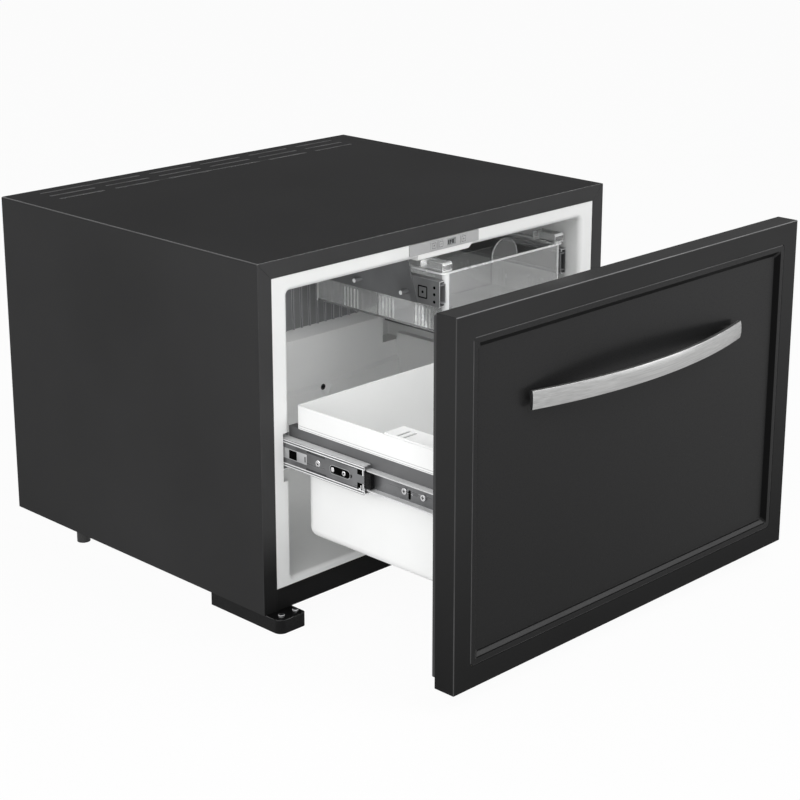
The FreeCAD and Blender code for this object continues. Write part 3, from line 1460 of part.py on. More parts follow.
def make_absorber():
    rows = int(number("coil_rows"))
    route = [("-coil_left", "unit_y", "coil_z")]
    for row in range(rows):
        end = "coil_right" if row % 2 == 0 else "-coil_left"
        level = f"coil_z - {row} * coil_pitch"
        if row == rows - 1:
            end = "coil_end"
        route.append((end, "unit_y", level))
        if row < rows - 1:
            route.append((end, "unit_y", f"coil_z - {row + 1} * coil_pitch"))
    route.append(("coil_end", "unit_y", "vessel_z + vessel_radius"))
    finished("absorber_coil", pipe(route, "coil_pitch / 2", "coil_radius"))
    vessel = rod("X", "vessel_radius", ("-vessel_left", "vessel_right"), ("unit_y", "vessel_z"))
    outlet = rod("X", "return_radius",
                 ("vessel_right - vessel_inset", "boiler_place - boiler_radius - seam_gap"),
                 ("unit_y", "vessel_z - return_drop"))
    finished("absorber_vessel", fuse(vessel, outlet))


def make_unit_brackets():
    """straps that hold the coil, the vessel and the boiler's jacket off the back plate"""
    left, right = "-coil_left + left_bracket_inset", "coil_right - right_bracket_inset"
    pieces = []
    for place in (left, right):
        pieces.append(box((f"{place} - bracket_width / 2", f"{place} + bracket_width / 2"),
                          ("rear_y", "unit_y - coil_radius"),
                          ("coil_low - bracket_width", "coil_z + bracket_width")))
    for place in (left, "vessel_right - vessel_inset"):
        pieces.append(box((f"{place} - bracket_width / 2", f"{place} + bracket_width / 2"),
                          ("rear_y", "unit_y - vessel_radius"),
                          ("vessel_z - bracket_width / 2", "vessel_z + bracket_width / 2")))
    pieces.append(box(("boiler_place - bracket_width", "boiler_place + bracket_width"),
                      ("rear_y", "jacket_front"),
                      ("jacket_bottom + bracket_width", "jacket_top - bracket_width")))
    finished("unit_brackets", group(*pieces))


def make_electronics():
    case = box(("box_left", "box_right"), ("rear_y", "box_back"), ("box_low", "box_high"))
    finished("electronics_box", case)
    across = ("box_middle - inlet_width / 2", "box_middle + inlet_width / 2")
    up = ("inlet_low", "inlet_low + inlet_height")
    shell = box(across, ("box_back", "inlet_back"), up)
    recess = box((f"{across[0]} + inlet_wall", f"{across[1]} - inlet_wall"),
                 ("inlet_back - inlet_recess", "inlet_back + overrun"),
                 (f"{up[0]} + inlet_wall", f"{up[1]} - inlet_wall"))
    pins = []
    for turn in (-1, 0, 1):
        place = f"box_middle + {turn} * inlet_pin_pitch"
        pins.append(box((f"{place} - inlet_pin_width / 2", f"{place} + inlet_pin_width / 2"),
                        ("inlet_back - inlet_recess - inlet_wall / 2",
                         "inlet_back - inlet_recess + inlet_pin_length"),
                        (f"{up[0]} + inlet_height / 2 - inlet_pin_height / 2",
                         f"{up[0]} + inlet_height / 2 + inlet_pin_height / 2")))
    finished("mains_inlet", fuse(cut(shell, recess), *pins))


# Feet
def make_feet():
    piece = body()
    across = ("-foot_half", "-foot_half + foot_width")
    along = ("foot_front", "foot_front + foot_length")
    prism(piece, "XY", rectangle(across, along), "0", "foot_height")
    round_body(piece, "foot_outer_radius", "Z", [(across[0], along[0])])
    round_body(piece, "foot_inner_radius", "Z", [(across[1], along[0])])
    spots = [(f"{across[0]} + foot_screw_inset + {turn} * foot_screw_pitch",
              "foot_front + foot_screw_from_front") for turn in range(2)]
    holes = [rod("Z", "screw_radius + screw_fit", ("foot_height / 3", "foot_height + overrun"), spot)
             for spot in spots]
    left = cut(piece, *holes)
    finished("foot_bracket_left", left)
    finished("foot_bracket_right", mirrored(left))
    screws = []
    for spot in spots:
        head = rod("Z", "screw_head_radius", ("foot_height", "foot_height + screw_head_height"), spot)
        shank = rod("Z", "screw_radius", ("foot_height / 3", "foot_height + screw_head_height / 2"),
                    spot)
        screws.append(fuse(head, shank))
    finished("foot_screws", group(*screws, *(mirrored(screw) for screw in screws)))
    foot = rod("Z", "rear_foot_radius", ("0", "foot_height"),
               ("-half + rear_foot_inset", "back - rear_foot_from_back"))
    finished("rear_feet", group(foot, mirrored(foot)))


make_wrapper()
make_rail_and_pan()
make_liner_and_foam()
make_evaporator()
make_drain()
make_drawer_slides()
make_cages()
make_door()
make_handle()
make_basket()
make_rack()
make_tray_slides()
make_tray_brackets()
make_tray()
make_controls()
make_boiler()
make_condenser()
make_absorber()
make_unit_brackets()
make_electronics()
make_feet()
doc.recompute()

for thing in doc.Objects:
    if "Invalid" in thing.State or "Error" in thing.State:
        raise RuntimeError(f"{thing.Label} of type {thing.TypeId} failed")
for name, thing in PIECES.items():
    if thing.Shape.isNull() or not thing.Shape.isValid() or not thing.Shape.Solids:
        raise RuntimeError(f"{name} has no sound shape")

os.makedirs("parts", exist_ok=True)
for name, thing in PIECES.items():
    thing.Shape.exportStep(f"parts/{name}.step")
print(len(PIECES), "sub-parts written")
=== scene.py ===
import json
import math

import bmesh
import bpy
from mathutils import Matrix, Vector


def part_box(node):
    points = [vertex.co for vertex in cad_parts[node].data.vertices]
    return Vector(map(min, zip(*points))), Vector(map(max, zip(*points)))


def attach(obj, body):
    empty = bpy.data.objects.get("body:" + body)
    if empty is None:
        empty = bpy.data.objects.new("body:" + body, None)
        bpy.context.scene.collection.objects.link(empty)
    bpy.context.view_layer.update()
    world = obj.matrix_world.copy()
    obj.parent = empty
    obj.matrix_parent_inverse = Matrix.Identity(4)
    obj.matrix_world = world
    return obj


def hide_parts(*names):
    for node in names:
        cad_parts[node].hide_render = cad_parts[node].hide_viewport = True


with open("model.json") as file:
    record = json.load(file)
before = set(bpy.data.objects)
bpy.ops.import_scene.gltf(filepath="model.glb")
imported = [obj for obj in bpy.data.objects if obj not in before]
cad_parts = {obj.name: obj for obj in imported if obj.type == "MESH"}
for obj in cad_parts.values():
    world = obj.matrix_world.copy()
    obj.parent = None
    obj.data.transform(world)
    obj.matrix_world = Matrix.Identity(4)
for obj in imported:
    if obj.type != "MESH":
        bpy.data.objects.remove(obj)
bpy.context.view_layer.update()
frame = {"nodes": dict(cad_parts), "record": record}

WELD = 0.000002
FLAT_ANGLE = math.radians(0.6)
SHARP_ANGLE = math.radians(28)
WHOLE_TURN = math.radians(360)
SIDES = (("left", -1), ("right", 1))

# each node's body and material slot
BODY_OF = {node: body for body, nodes in frame["record"]["behaviour"]["bodies"].items() for node in nodes}
SLOT_OF = {node: thing.data.materials[0].name for node, thing in frame["nodes"].items()}


# materials

# most of a noise or cell texture's values lie between these
TEXTURE_LOW = 0.3
TEXTURE_HIGH = 0.7
NOISE_DETAIL = 3.0
NOISE_ROUGHNESS = 0.55

# how a grain is drawn out along the piece
ALONG_SLIDE = (1, 0.06, 1)
UPRIGHT = (1, 1, 0.05)
ALONG_TUBE = (1, 1, 0.1)
ALONG_HANDLE = (0.02, 0.3, 1)


def link(tree, source, target):
    """joins an output to an input"""
    tree.links.new(source, target)


def own_coordinates(tree, stretch=(1, 1, 1)):
    """the piece's own coordinates, stretched along its axes"""
    place = tree.nodes.new("ShaderNodeTexCoord")
    mapping = tree.nodes.new("ShaderNodeMapping")
    mapping.inputs["Scale"].default_value = stretch
    link(tree, place.outputs["Object"], mapping.inputs["Vector"])
    return mapping.outputs["Vector"]


def noise(tree, where, scale):
    """cloudy noise, of so many spots a metre"""
    texture = tree.nodes.new("ShaderNodeTexNoise")
    texture.inputs["Scale"].default_value = scale
    texture.inputs["Detail"].default_value = NOISE_DETAIL
    texture.inputs["Roughness"].default_value = NOISE_ROUGHNESS
    link(tree, where, texture.inputs["Vector"])
    return texture.outputs["Fac"]


def cells(tree, where, scale):
    """small rounded cells, of so many a metre"""
    texture = tree.nodes.new("ShaderNodeTexVoronoi")
    texture.feature = "SMOOTH_F1"
    texture.inputs["Scale"].default_value = scale
    link(tree, where, texture.inputs["Vector"])
    return texture.outputs["Distance"]


def between(tree, value, low, high, start=TEXTURE_LOW, end=TEXTURE_HIGH):
    """the value's range start to end, spread from low to high"""
    ranged = tree.nodes.new("ShaderNodeMapRange")
    ranged.inputs["From Min"].default_value = start
    ranged.inputs["From Max"].default_value = end
    ranged.inputs["To Min"].default_value = low
    ranged.inputs["To Max"].default_value = high
    link(tree, value, ranged.inputs["Value"])
    return ranged.outputs["Result"]


def varying(tree, value, colour, share):
    """the colour, a share darker where the value is low and a share lighter where it is high"""
    mixer = tree.nodes.new("ShaderNodeMix")
    mixer.data_type = "RGBA"
    link(tree, value, mixer.inputs["Factor"])
    mixer.inputs["A"].default_value = (*(part * (1 - share) for part in colour), 1)
    mixer.inputs["B"].default_value = (*(part * (1 + share) for part in colour), 1)
    return mixer.outputs["Result"]


def raised(tree, height, depth):
    """a bump of that depth in metres"""
    bump = tree.nodes.new("ShaderNodeBump")
    bump.inputs["Strength"].default_value = 1.0
    bump.inputs["Distance"].default_value = depth
    link(tree, height, bump.inputs["Height"])
    return bump.outputs["Normal"]


FINISHES = {}


def surface(name, colour, rough, varied, patches, grain, depth, stretch=(1, 1, 1), kind=noise, drawn=False,
            **sockets):
    """adds a finish whose colour drifts or is drawn out, and whose roughness and bump follow one grain"""
    material = bpy.data.materials.new(name)
    material.use_nodes = True
    tree = material.node_tree
    shader = tree.nodes["Principled BSDF"]
    plain = own_coordinates(tree)
    along = own_coordinates(tree, stretch)
    drift = between(tree, noise(tree, along if drawn else plain, patches), 0, 1)
    link(tree, varying(tree, drift, colour, varied), shader.inputs["Base Color"])
    texture = kind(tree, along, grain)
    link(tree, between(tree, texture, *rough), shader.inputs["Roughness"])
    link(tree, raised(tree, texture, depth), shader.inputs["Normal"])
    for socket, value in sockets.items():
        shader.inputs[socket.replace("_", " ")].default_value = value
    FINISHES[name] = material


def painted_shade_below(name, low, high, share):
    """paints shade into a finish: its tone falls to a share of itself from the high place down to the low one
    """
    tree = FINISHES[name].node_tree
    base = tree.nodes["Principled BSDF"].inputs["Base Color"]
    tone = base.links[0].from_socket
    split = tree.nodes.new("ShaderNodeSeparateXYZ")
    link(tree, own_coordinates(tree), split.inputs[0])
    factor = between(tree, split.outputs["Z"], share, 1, low, high)
    scaled = tree.nodes.new("ShaderNodeVectorMath")
    scaled.operation = "SCALE"
    link(tree, tone, scaled.inputs[0])
    link(tree, factor, scaled.inputs["Scale"])
    link(tree, scaled.outputs[0], base)


# black paint of the cabinet and the door, its lighter and darker painted-light copies, the painted highlights
# along its edges and the painted shade in holes
surface("cabinet_black", (0.023, 0.023, 0.0234), rough=(0.62, 0.72), varied=0.12, patches=3.0, grain=900.0,
        depth=0.00004, Specular_IOR_Level=0.02)
# painted light and shade: the front of the mouth's border is a lighter copy of the black paint, standing in
# for the light it reflects, and painted shade darkens it towards the floor
surface("border_lit_and_shaded", (0.047, 0.047, 0.0476), rough=(0.5, 0.6), varied=0.08, patches=6.0, grain=900.0,
        depth=0.00003, Specular_IOR_Level=0.05)
painted_shade_below("border_lit_and_shaded", low=0.06, high=0.115, share=0.3)
# painted light: the cabinet's sides are a lighter copy of the same black paint
surface("side_lit_black", (0.033, 0.033, 0.0334), rough=(0.62, 0.72), varied=0.1, patches=3.0, grain=900.0,
        depth=0.00004, Specular_IOR_Level=0.02)
surface("rail_black", (0.014, 0.014, 0.0142), rough=(0.5, 0.6), varied=0.12, patches=6.0, grain=900.0,
        depth=0.00003, Specular_IOR_Level=0.03)
# painted highlights on the rounded edges of the black paint, one strength for each side an edge lies on
surface("plain_edge_highlight", (0.13, 0.13, 0.132), rough=(0.3, 0.4), varied=0.3, patches=30.0, grain=900.0,
        depth=0.00002, Specular_IOR_Level=0.4)
surface("bright_edge_highlight", (0.55, 0.55, 0.553), rough=(0.3, 0.4), varied=0.3, patches=30.0, grain=900.0,
        depth=0.00002, Specular_IOR_Level=0.5)
surface("dim_edge_highlight", (0.04, 0.04, 0.0404), rough=(0.4, 0.5), varied=0.3, patches=12.0, grain=900.0,
        depth=0.00002, Specular_IOR_Level=0.3)
surface("soft_edge_highlight", (0.06, 0.06, 0.061), rough=(0.4, 0.5), varied=0.3, patches=12.0, grain=900.0,
        depth=0.00002, Specular_IOR_Level=0.3)
surface("door_black", (0.026, 0.026, 0.0263), rough=(0.58, 0.68), varied=0.1, patches=3.0, grain=1100.0,
        depth=0.00002, Specular_IOR_Level=0.05)
# painted shade: the door's paint darkens towards the floor
painted_shade_below("door_black", low=0.03, high=0.38, share=0.42)
surface("panel_black", (0.014, 0.014, 0.0143), rough=(0.26, 0.32), varied=0.08, patches=3.0, grain=1100.0,
        depth=0.00001, Specular_IOR_Level=0.12)
# painted shade: the panel's paint darkens towards the floor
painted_shade_below("panel_black", low=0.05, high=0.36, share=0.4)
# painted highlight and painted shade for the door recess's bevels
surface("bevel_lit", (0.034, 0.034, 0.0345), rough=(0.3, 0.4), varied=0.1, patches=12.0, grain=1100.0,
        depth=0.00001, Specular_IOR_Level=0.15)
surface("bevel_shade", (0.004, 0.004, 0.0041), rough=(0.4, 0.5), varied=0.1, patches=12.0, grain=1100.0,
        depth=0.00001, Specular_IOR_Level=0.03)
# painted shade: thin black pieces for the dark insides of holes, slots, dimples, screw slots and pressed
# lines
surface("hole_shade_black", (0.003, 0.003, 0.003), rough=(0.85, 0.95), varied=0.1, patches=60.0, grain=900.0,
        depth=0.00002, Specular_IOR_Level=0.0)
surface("foot_black", (0.007, 0.007, 0.0072), rough=(0.25, 0.33), varied=0.15, patches=40.0, grain=900.0,
        depth=0.00003, Specular_IOR_Level=0.1)

# white mouldings and foam
surface("liner_white", (0.84, 0.845, 0.84), rough=(0.28, 0.36), varied=0.02, patches=9.0, grain=420.0,
        depth=0.00002, Specular_IOR_Level=0.4)
surface("basket_white", (0.87, 0.875, 0.87), rough=(0.3, 0.38), varied=0.015, patches=12.0, grain=500.0,
        depth=0.00002, Specular_IOR_Level=0.4)
surface("foam_cream", (0.72, 0.62, 0.4), rough=(0.7, 0.9), varied=0.1, patches=60.0, grain=700.0,
        depth=0.0003, kind=cells)

# plated slides, brackets and the brushed handle, with painted highlights and painted shade on the slides
surface("zinc_bright", (0.165, 0.167, 0.171), rough=(0.26, 0.38), varied=0.22, patches=26.0, grain=240.0,
        depth=0.00002, stretch=ALONG_SLIDE, Metallic=0.6)
# painted highlight for the slides' rounded edges, narrow faces, pressed ring and rivets
surface("zinc_edge_highlight", (0.78, 0.78, 0.79), rough=(0.15, 0.25), varied=0.1, patches=60.0, grain=300.0,
        depth=0.00001, Metallic=1.0)
# painted highlight for the middle slide's pressed tongue and the collar round its slot
surface("zinc_soft_highlight", (0.42, 0.423, 0.43), rough=(0.3, 0.4), varied=0.14, patches=26.0, grain=240.0,
        depth=0.00002, stretch=ALONG_SLIDE, Metallic=0.35)
surface("zinc_mid", (0.19, 0.192, 0.196), rough=(0.3, 0.4), varied=0.14, patches=26.0, grain=240.0,
        depth=0.00002, stretch=ALONG_SLIDE, Metallic=0.35)
# painted highlight for the slides' upward faces, the raised lines on the web, the feet's top rims and the
# foot screws' edges
surface("zinc_lit_highlight", (0.82, 0.825, 0.83), rough=(0.3, 0.4), varied=0.08, patches=40.0, grain=240.0,
        depth=0.00001, stretch=ALONG_SLIDE, Metallic=0.1)
# dark plated steel, also used as painted shade on the middle slide's pressed pads
surface("zinc_dark", (0.05, 0.051, 0.053), rough=(0.3, 0.42), varied=0.2, patches=30.0, grain=240.0,
        depth=0.00003, stretch=ALONG_SLIDE, Metallic=0.6)
surface("rail_grey", (0.12, 0.121, 0.124), rough=(0.3, 0.42), varied=0.12, patches=20.0, grain=300.0,
        depth=0.00002, stretch=ALONG_SLIDE, Metallic=0.3)
surface("bracket_grey", (0.105, 0.107, 0.11), rough=(0.34, 0.46), varied=0.1, patches=25.0, grain=600.0,
        depth=0.00002, Specular_IOR_Level=0.4)
surface("brushed", (0.43, 0.43, 0.427), rough=(0.3, 0.46), varied=0.16, patches=900.0, grain=1300.0,
        depth=0.00003, stretch=ALONG_HANDLE, drawn=True, Metallic=1.0)

# plastics, rubber and print
surface("plastic_black", (0.012, 0.012, 0.012), rough=(0.4, 0.55), varied=0.12, patches=40.0, grain=900.0,
        depth=0.00004)
surface("rubber_grey", (0.03, 0.03, 0.031), rough=(0.55, 0.7), varied=0.08, patches=30.0, grain=700.0,
        depth=0.00003, Specular_IOR_Level=0.3)
surface("fascia_grey", (0.43, 0.43, 0.434), rough=(0.36, 0.46), varied=0.03, patches=40.0, grain=900.0,
        depth=0.00002)
surface("key_grey", (0.46, 0.46, 0.464), rough=(0.36, 0.46), varied=0.03, patches=90.0, grain=900.0,
        depth=0.00002)
surface("print_grey", (0.08, 0.08, 0.083), rough=(0.5, 0.6), varied=0.05, patches=90.0, grain=900.0,
        depth=0.00001)
surface("digit_dark", (0.02, 0.021, 0.023), rough=(0.4, 0.5), varied=0.05, patches=90.0, grain=900.0,
        depth=0.00001)
surface("lamp_frost", (0.88, 0.88, 0.87), rough=(0.45, 0.55), varied=0.02, patches=60.0, grain=800.0,
        depth=0.00003)
surface("display_glass", (0.3, 0.31, 0.31), rough=(0.08, 0.14), varied=0.05, patches=60.0, grain=300.0,
        depth=0.000005, Specular_IOR_Level=0.5)

# the cold plate with painted highlights on its edges, the small tray's pegs and the painted shade at the
# bottoms of slots
surface("plate_dark", (0.22, 0.223, 0.227), rough=(0.36, 0.5), varied=0.12, patches=14.0, grain=300.0,
        depth=0.00003, stretch=UPRIGHT, Metallic=0.2)
surface("plate_edge_highlight", (0.55, 0.553, 0.56), rough=(0.3, 0.4), varied=0.1, patches=14.0, grain=300.0,
        depth=0.00002, stretch=UPRIGHT, Metallic=0.2)
surface("peg_pale", (0.72, 0.725, 0.73), rough=(0.16, 0.24), varied=0.05, patches=90.0, grain=900.0,
        depth=0.00001, Transmission_Weight=0.1)
surface("slot_grey", (0.24, 0.24, 0.24), rough=(0.5, 0.6), varied=0.05, patches=90.0, grain=900.0,
        depth=0.00001)
surface("groove_shade_grey", (0.5, 0.5, 0.5), rough=(0.5, 0.6), varied=0.05, patches=90.0, grain=900.0,
        depth=0.00001)

# the cooling unit and its electrics
surface("aluminium", (0.66, 0.67, 0.68), rough=(0.28, 0.4), varied=0.06, patches=30.0, grain=500.0,
        depth=0.00002, stretch=ALONG_TUBE, Metallic=1.0)
surface("tube_black", (0.018, 0.018, 0.019), rough=(0.38, 0.5), varied=0.2, patches=30.0, grain=500.0,
        depth=0.00005)
surface("galvanised", (0.52, 0.53, 0.54), rough=(0.3, 0.48), varied=0.16, patches=90.0, grain=160.0,
        depth=0.00002, kind=cells, Metallic=1.0)
surface("board_green", (0.02, 0.16, 0.06), rough=(0.3, 0.42), varied=0.1, patches=120.0, grain=900.0,
        depth=0.00003)
surface("wool_yellow", (0.72, 0.6, 0.3), rough=(0.8, 0.95), varied=0.2, patches=80.0, grain=500.0,
        depth=0.0006)
surface("ball_steel", (0.62, 0.62, 0.63), rough=(0.08, 0.16), varied=0.03, patches=90.0, grain=900.0,
        depth=0.000004, Metallic=1.0)
surface("screw_steel", (0.66, 0.66, 0.67), rough=(0.16, 0.26), varied=0.06, patches=200.0, grain=900.0,
        depth=0.00001, Metallic=1.0)

# the clear tray, and a whiter copy of it for the painted highlight on its rims and edges
surface("clear", (0.95, 0.955, 0.955), rough=(0.04, 0.08), varied=0.01, patches=20.0, grain=60.0,
        depth=0.00001, Transmission_Weight=0.88, IOR=1.3)
surface("clear_tab", (0.96, 0.965, 0.965), rough=(0.03, 0.06), varied=0.01, patches=20.0, grain=60.0,
        depth=0.00001, Transmission_Weight=0.97, IOR=1.25)
surface("clear_edge_highlight", (0.8, 0.81, 0.81), rough=(0.2, 0.3), varied=0.02, patches=20.0, grain=90.0,
        depth=0.00002, Transmission_Weight=0.25, IOR=1.49)

FINISH_OF_SLOT = {
    "black_steel": "cabinet_black",
    "door_black": "door_black",
    "white_plastic": "liner_white",
    "foam": "foam_cream",
    "zinc_steel": "zinc_bright",
    "dark_steel": "zinc_dark",
    "brushed_steel": "brushed",
    "black_plastic": "plastic_black",
    "gasket_rubber": "rubber_grey",
    "clear_plastic": "clear",
    "frosted_lens": "lamp_frost",
    "grey_fascia": "fascia_grey",
    "key_grey": "key_grey",
    "display_glass": "display_glass",
    "dark_aluminium": "plate_dark",
    "bare_aluminium": "aluminium",
    "tube_steel": "tube_black",
    "galvanised": "galvanised",
    "board_green": "board_green",
    "wool": "wool_yellow",
    "ball_steel": "ball_steel",
    "screw_steel": "screw_steel",
}

# nodes whose finish isn't their slot's
FINISH_OF_NODE = {
    "front_bottom_rail": "rail_black",
    "door_panel": "panel_black",
    "drawer_basket": "basket_white",
    "bottle_rack": "basket_white",
    "foot_bracket_left": "foot_black",
    "foot_bracket_right": "foot_black",
    "foot_screws": "zinc_dark",
    "tray_bracket_left": "bracket_grey",
    "tray_bracket_right": "bracket_grey",
    "tray_slide_rails": "zinc_mid",
    "tray_slide_runners": "zinc_mid",
    "drawer_side_rails": "rail_grey",
}


def finish_of(node):
    """the name of a node's main finish"""
    return FINISH_OF_NODE.get(node, FINISH_OF_SLOT[SLOT_OF[node]])


# shapes


def bar(low, high):
    """a block between two corners"""
    shape = bmesh.new()
    centre = (Vector(low) + Vector(high)) / 2
    size = Vector(high) - Vector(low)
    bmesh.ops.create_cube(shape, size=1.0, matrix=Matrix.Translation(centre) @ Matrix.Diagonal((*size, 1)))
    return shape


def strip(start, end, width, thick):
    """a thin bar between two points of a face that looks forwards"""
    start, end = Vector(start), Vector(end)
    along = end - start
    shape = bmesh.new()
    bmesh.ops.create_cube(shape, size=1.0, matrix=Matrix.Diagonal((width, thick, along.length, 1)))
    aim = along.to_track_quat("Z", "Y").to_matrix().to_4x4()
    bmesh.ops.transform(shape, matrix=Matrix.Translation((start + end) / 2) @ aim, verts=shape.verts)
    return shape


# how many sides a small, a middling and a large round mark has
SMALL_ROUND = 16
ROUND = 20
LARGE_ROUND = 24


def turned(points, centre, axis, steps):
    """a round piece: a half outline of (radius, along) points turned about an axis through its centre"""
    shape = bmesh.new()
    rings = []
    for radius, along in points:
        turns = [WHOLE_TURN * step / steps for step in range(steps if radius else 1)]
        rings.append([shape.verts.new((radius * math.cos(turn), radius * math.sin(turn), along))
                      for turn in turns])
    for first, second in zip(rings, rings[1:]):
        for step in range(steps):
            ends = ((first, step), (first, step + 1), (second, step + 1), (second, step))
            corners = [ring[place % len(ring)] for ring, place in ends]
            shape.faces.new(list(dict.fromkeys(corners)))
    aim = Vector(axis).to_track_quat("Z", "Y").to_matrix().to_4x4()
    bmesh.ops.transform(shape, matrix=Matrix.Translation(centre) @ aim, verts=shape.verts)
    return shape


def disc(radius, lift):
    """the half outline of a low round button"""
    return ((0, lift), (radius, lift), (radius, 0))


# how deep a thin block on a web is sunk in, and how much of a slab's height each of its ends is rounded
SUNK = 0.0002
PILL_ROUND = 0.48
PILL_STEPS = 6


def plane_slab(web, out, along, up, lift):
    """a thin block on a web that faces left or right: its spans along and up, and how far it stands out"""
    across = sorted((web - SUNK * out, web + lift * out))
    return bar((across[0], along[0], up[0]), (across[1], along[1], up[1]))


def pill(web, out, along, up, lift):
    """a slab with fully rounded ends"""
    shape = plane_slab(web, out, along, up, lift)
    ends = [edge for edge in shape.edges if abs(edge.verts[0].co.x - edge.verts[1].co.x) > WELD]
    bmesh.ops.bevel(shape, geom=ends, offset=(up[1] - up[0]) * PILL_ROUND, offset_type="OFFSET",
                    segments=PILL_STEPS, profile=0.5, affect="EDGES", clamp_overlap=True, material=-1)
    return shape


def joined(shapes):
    """several shapes as one"""
    whole = bmesh.new()
    for shape in shapes:
        mesh = bpy.data.meshes.new("part")
        shape.to_mesh(mesh)
        shape.free()
        whole.from_mesh(mesh)
        bpy.data.meshes.remove(mesh)
    return whole


def ease(shape, width, segments=2):
    """rounds every sharp edge, and gives the new faces"""
    sharp = [edge for edge in shape.edges if edge.is_manifold and edge.calc_face_angle(0) > SHARP_ANGLE]
    made = bmesh.ops.bevel(shape, geom=sharp, offset=width, offset_type="OFFSET", segments=segments,
                           profile=0.5, affect="EDGES", clamp_overlap=True, material=-1)
    return made["faces"]


def merged_copy(node):
    """a copy of a node's mesh, merged, with its flat faces whole"""
    shape = bmesh.new()
    shape.from_mesh(frame["nodes"][node].data)
    bmesh.ops.remove_doubles(shape, verts=shape.verts, dist=WELD)
    bmesh.ops.dissolve_limit(shape, angle_limit=FLAT_ANGLE, verts=shape.verts, edges=shape.edges,
                             use_dissolve_boundaries=False)
    return shape


def cut_at(shape, parts, height):
    """splits parts of a shape at a level height"""
    bmesh.ops.bisect_plane(shape, geom=parts, plane_co=(0, 0, height), plane_no=(0, 0, 1))


def islands(node):
    """the low and high corners of a node's separate solids, in order"""
    shape = merged_copy(node)
    left = set(shape.verts)
    boxes = []
    for vertex in shape.verts:
        if vertex not in left:
            continue
        reached = [vertex]
        left.discard(vertex)
        for known in reached:
            for edge in known.link_edges:
                other = edge.other_vert(known)
                if other in left:
                    left.discard(other)
                    reached.append(other)
        boxes.append([Vector([pick(known.co[axis] for known in reached) for axis in range(3)])
                      for pick in (min, max)])
    shape.free()
    return boxes


# pieces


def placed(name, shape, finishes, body):
    """makes the shape a piece that rides on a body"""
    bmesh.ops.recalc_face_normals(shape, faces=shape.faces)
    mesh = bpy.data.meshes.new(name)
    shape.to_mesh(mesh)
    shape.free()
    for polygon in mesh.polygons:
        polygon.use_smooth = True
    mesh.set_sharp_from_angle(angle=SHARP_ANGLE)
    for finish in finishes:
        mesh.materials.append(FINISHES[finish])
    piece = bpy.data.objects.new(name, mesh)
    bpy.context.scene.collection.objects.link(piece)
    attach(piece, body)
    return piece


def weighted(piece):
    """lets the large flat faces keep their own normals"""
    modifier = piece.modifiers.new("flat_faces", "WEIGHTED_NORMAL")
    modifier.keep_sharp = True
    modifier.weight = 100


def always(finish):
    """a rule that gives every face this finish"""
    return lambda centre, normal: finish


def dressed(node, width, edge=None, strips=0.0, segments=2, face=None, prepare=None):
    """stands for a node, its edges rounded. The rule edge picks the finish of the rounded edges and of the
    faces narrower than strips, and the rule face that of the others. Where a rule gives none, the node's
    own finish stays. prepare first cuts the copy where a finish has to end."""
    shape = merged_copy(node)
    if prepare:
        prepare(shape)
    narrow = set(ease(shape, width, segments))
    narrow.update(part for part in shape.faces if 2 * part.calc_area() < strips * part.calc_perimeter())
    shape.normal_update()
    finishes = [finish_of(node)]
    for part in shape.faces:
        rule = edge if part in narrow else face
        chosen = rule(part.calc_center_median(), part.normal) if rule else None
        if chosen and chosen not in finishes:
            finishes.append(chosen)
        part.material_index = finishes.index(chosen) if chosen else 0
    piece = placed(node + "_dressed", shape, finishes, BODY_OF[node])
    weighted(piece)
    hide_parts(node)


def finish_nodes():
    """gives each node that still shows its own finish"""
    for node, thing in frame["nodes"].items():
        for slot in thing.material_slots:
            slot.material = FINISHES[finish_of(node)]


# how far the edges of each kind are rounded
PRESSED_EDGE = 0.0002
SHEET_EDGE = 0.0003
MOULDED_EDGE = 0.0004
SMALL_EDGE = 0.0005
BASKET_EDGE = 0.0006
HANDLE_EDGE = 0.0007
SOFT_EDGE = 0.0008
FOOT_EDGE = 0.0014

# faces narrower than these count as edges
WRAPPER_STRIP = 0.0013
DOOR_STRIP = 0.0011
SLIDE_STRIP = 0.0016
TRAY_STRIP = 0.0021
CLIP_STRIP = 0.0015

# a face this near a node's outer plane lies on it
NEAR = 0.0008

# the least part of a face's normal along an axis that makes it slanted, upward, square to it or flat on it
SLANTED = 0.3
UPWARD = 0.7
SQUARE = 0.9
FLAT = 0.98

# how far down the painted highlight on the foot's top rim reaches
FOOT_HIGHLIGHT_DEPTH = 0.002


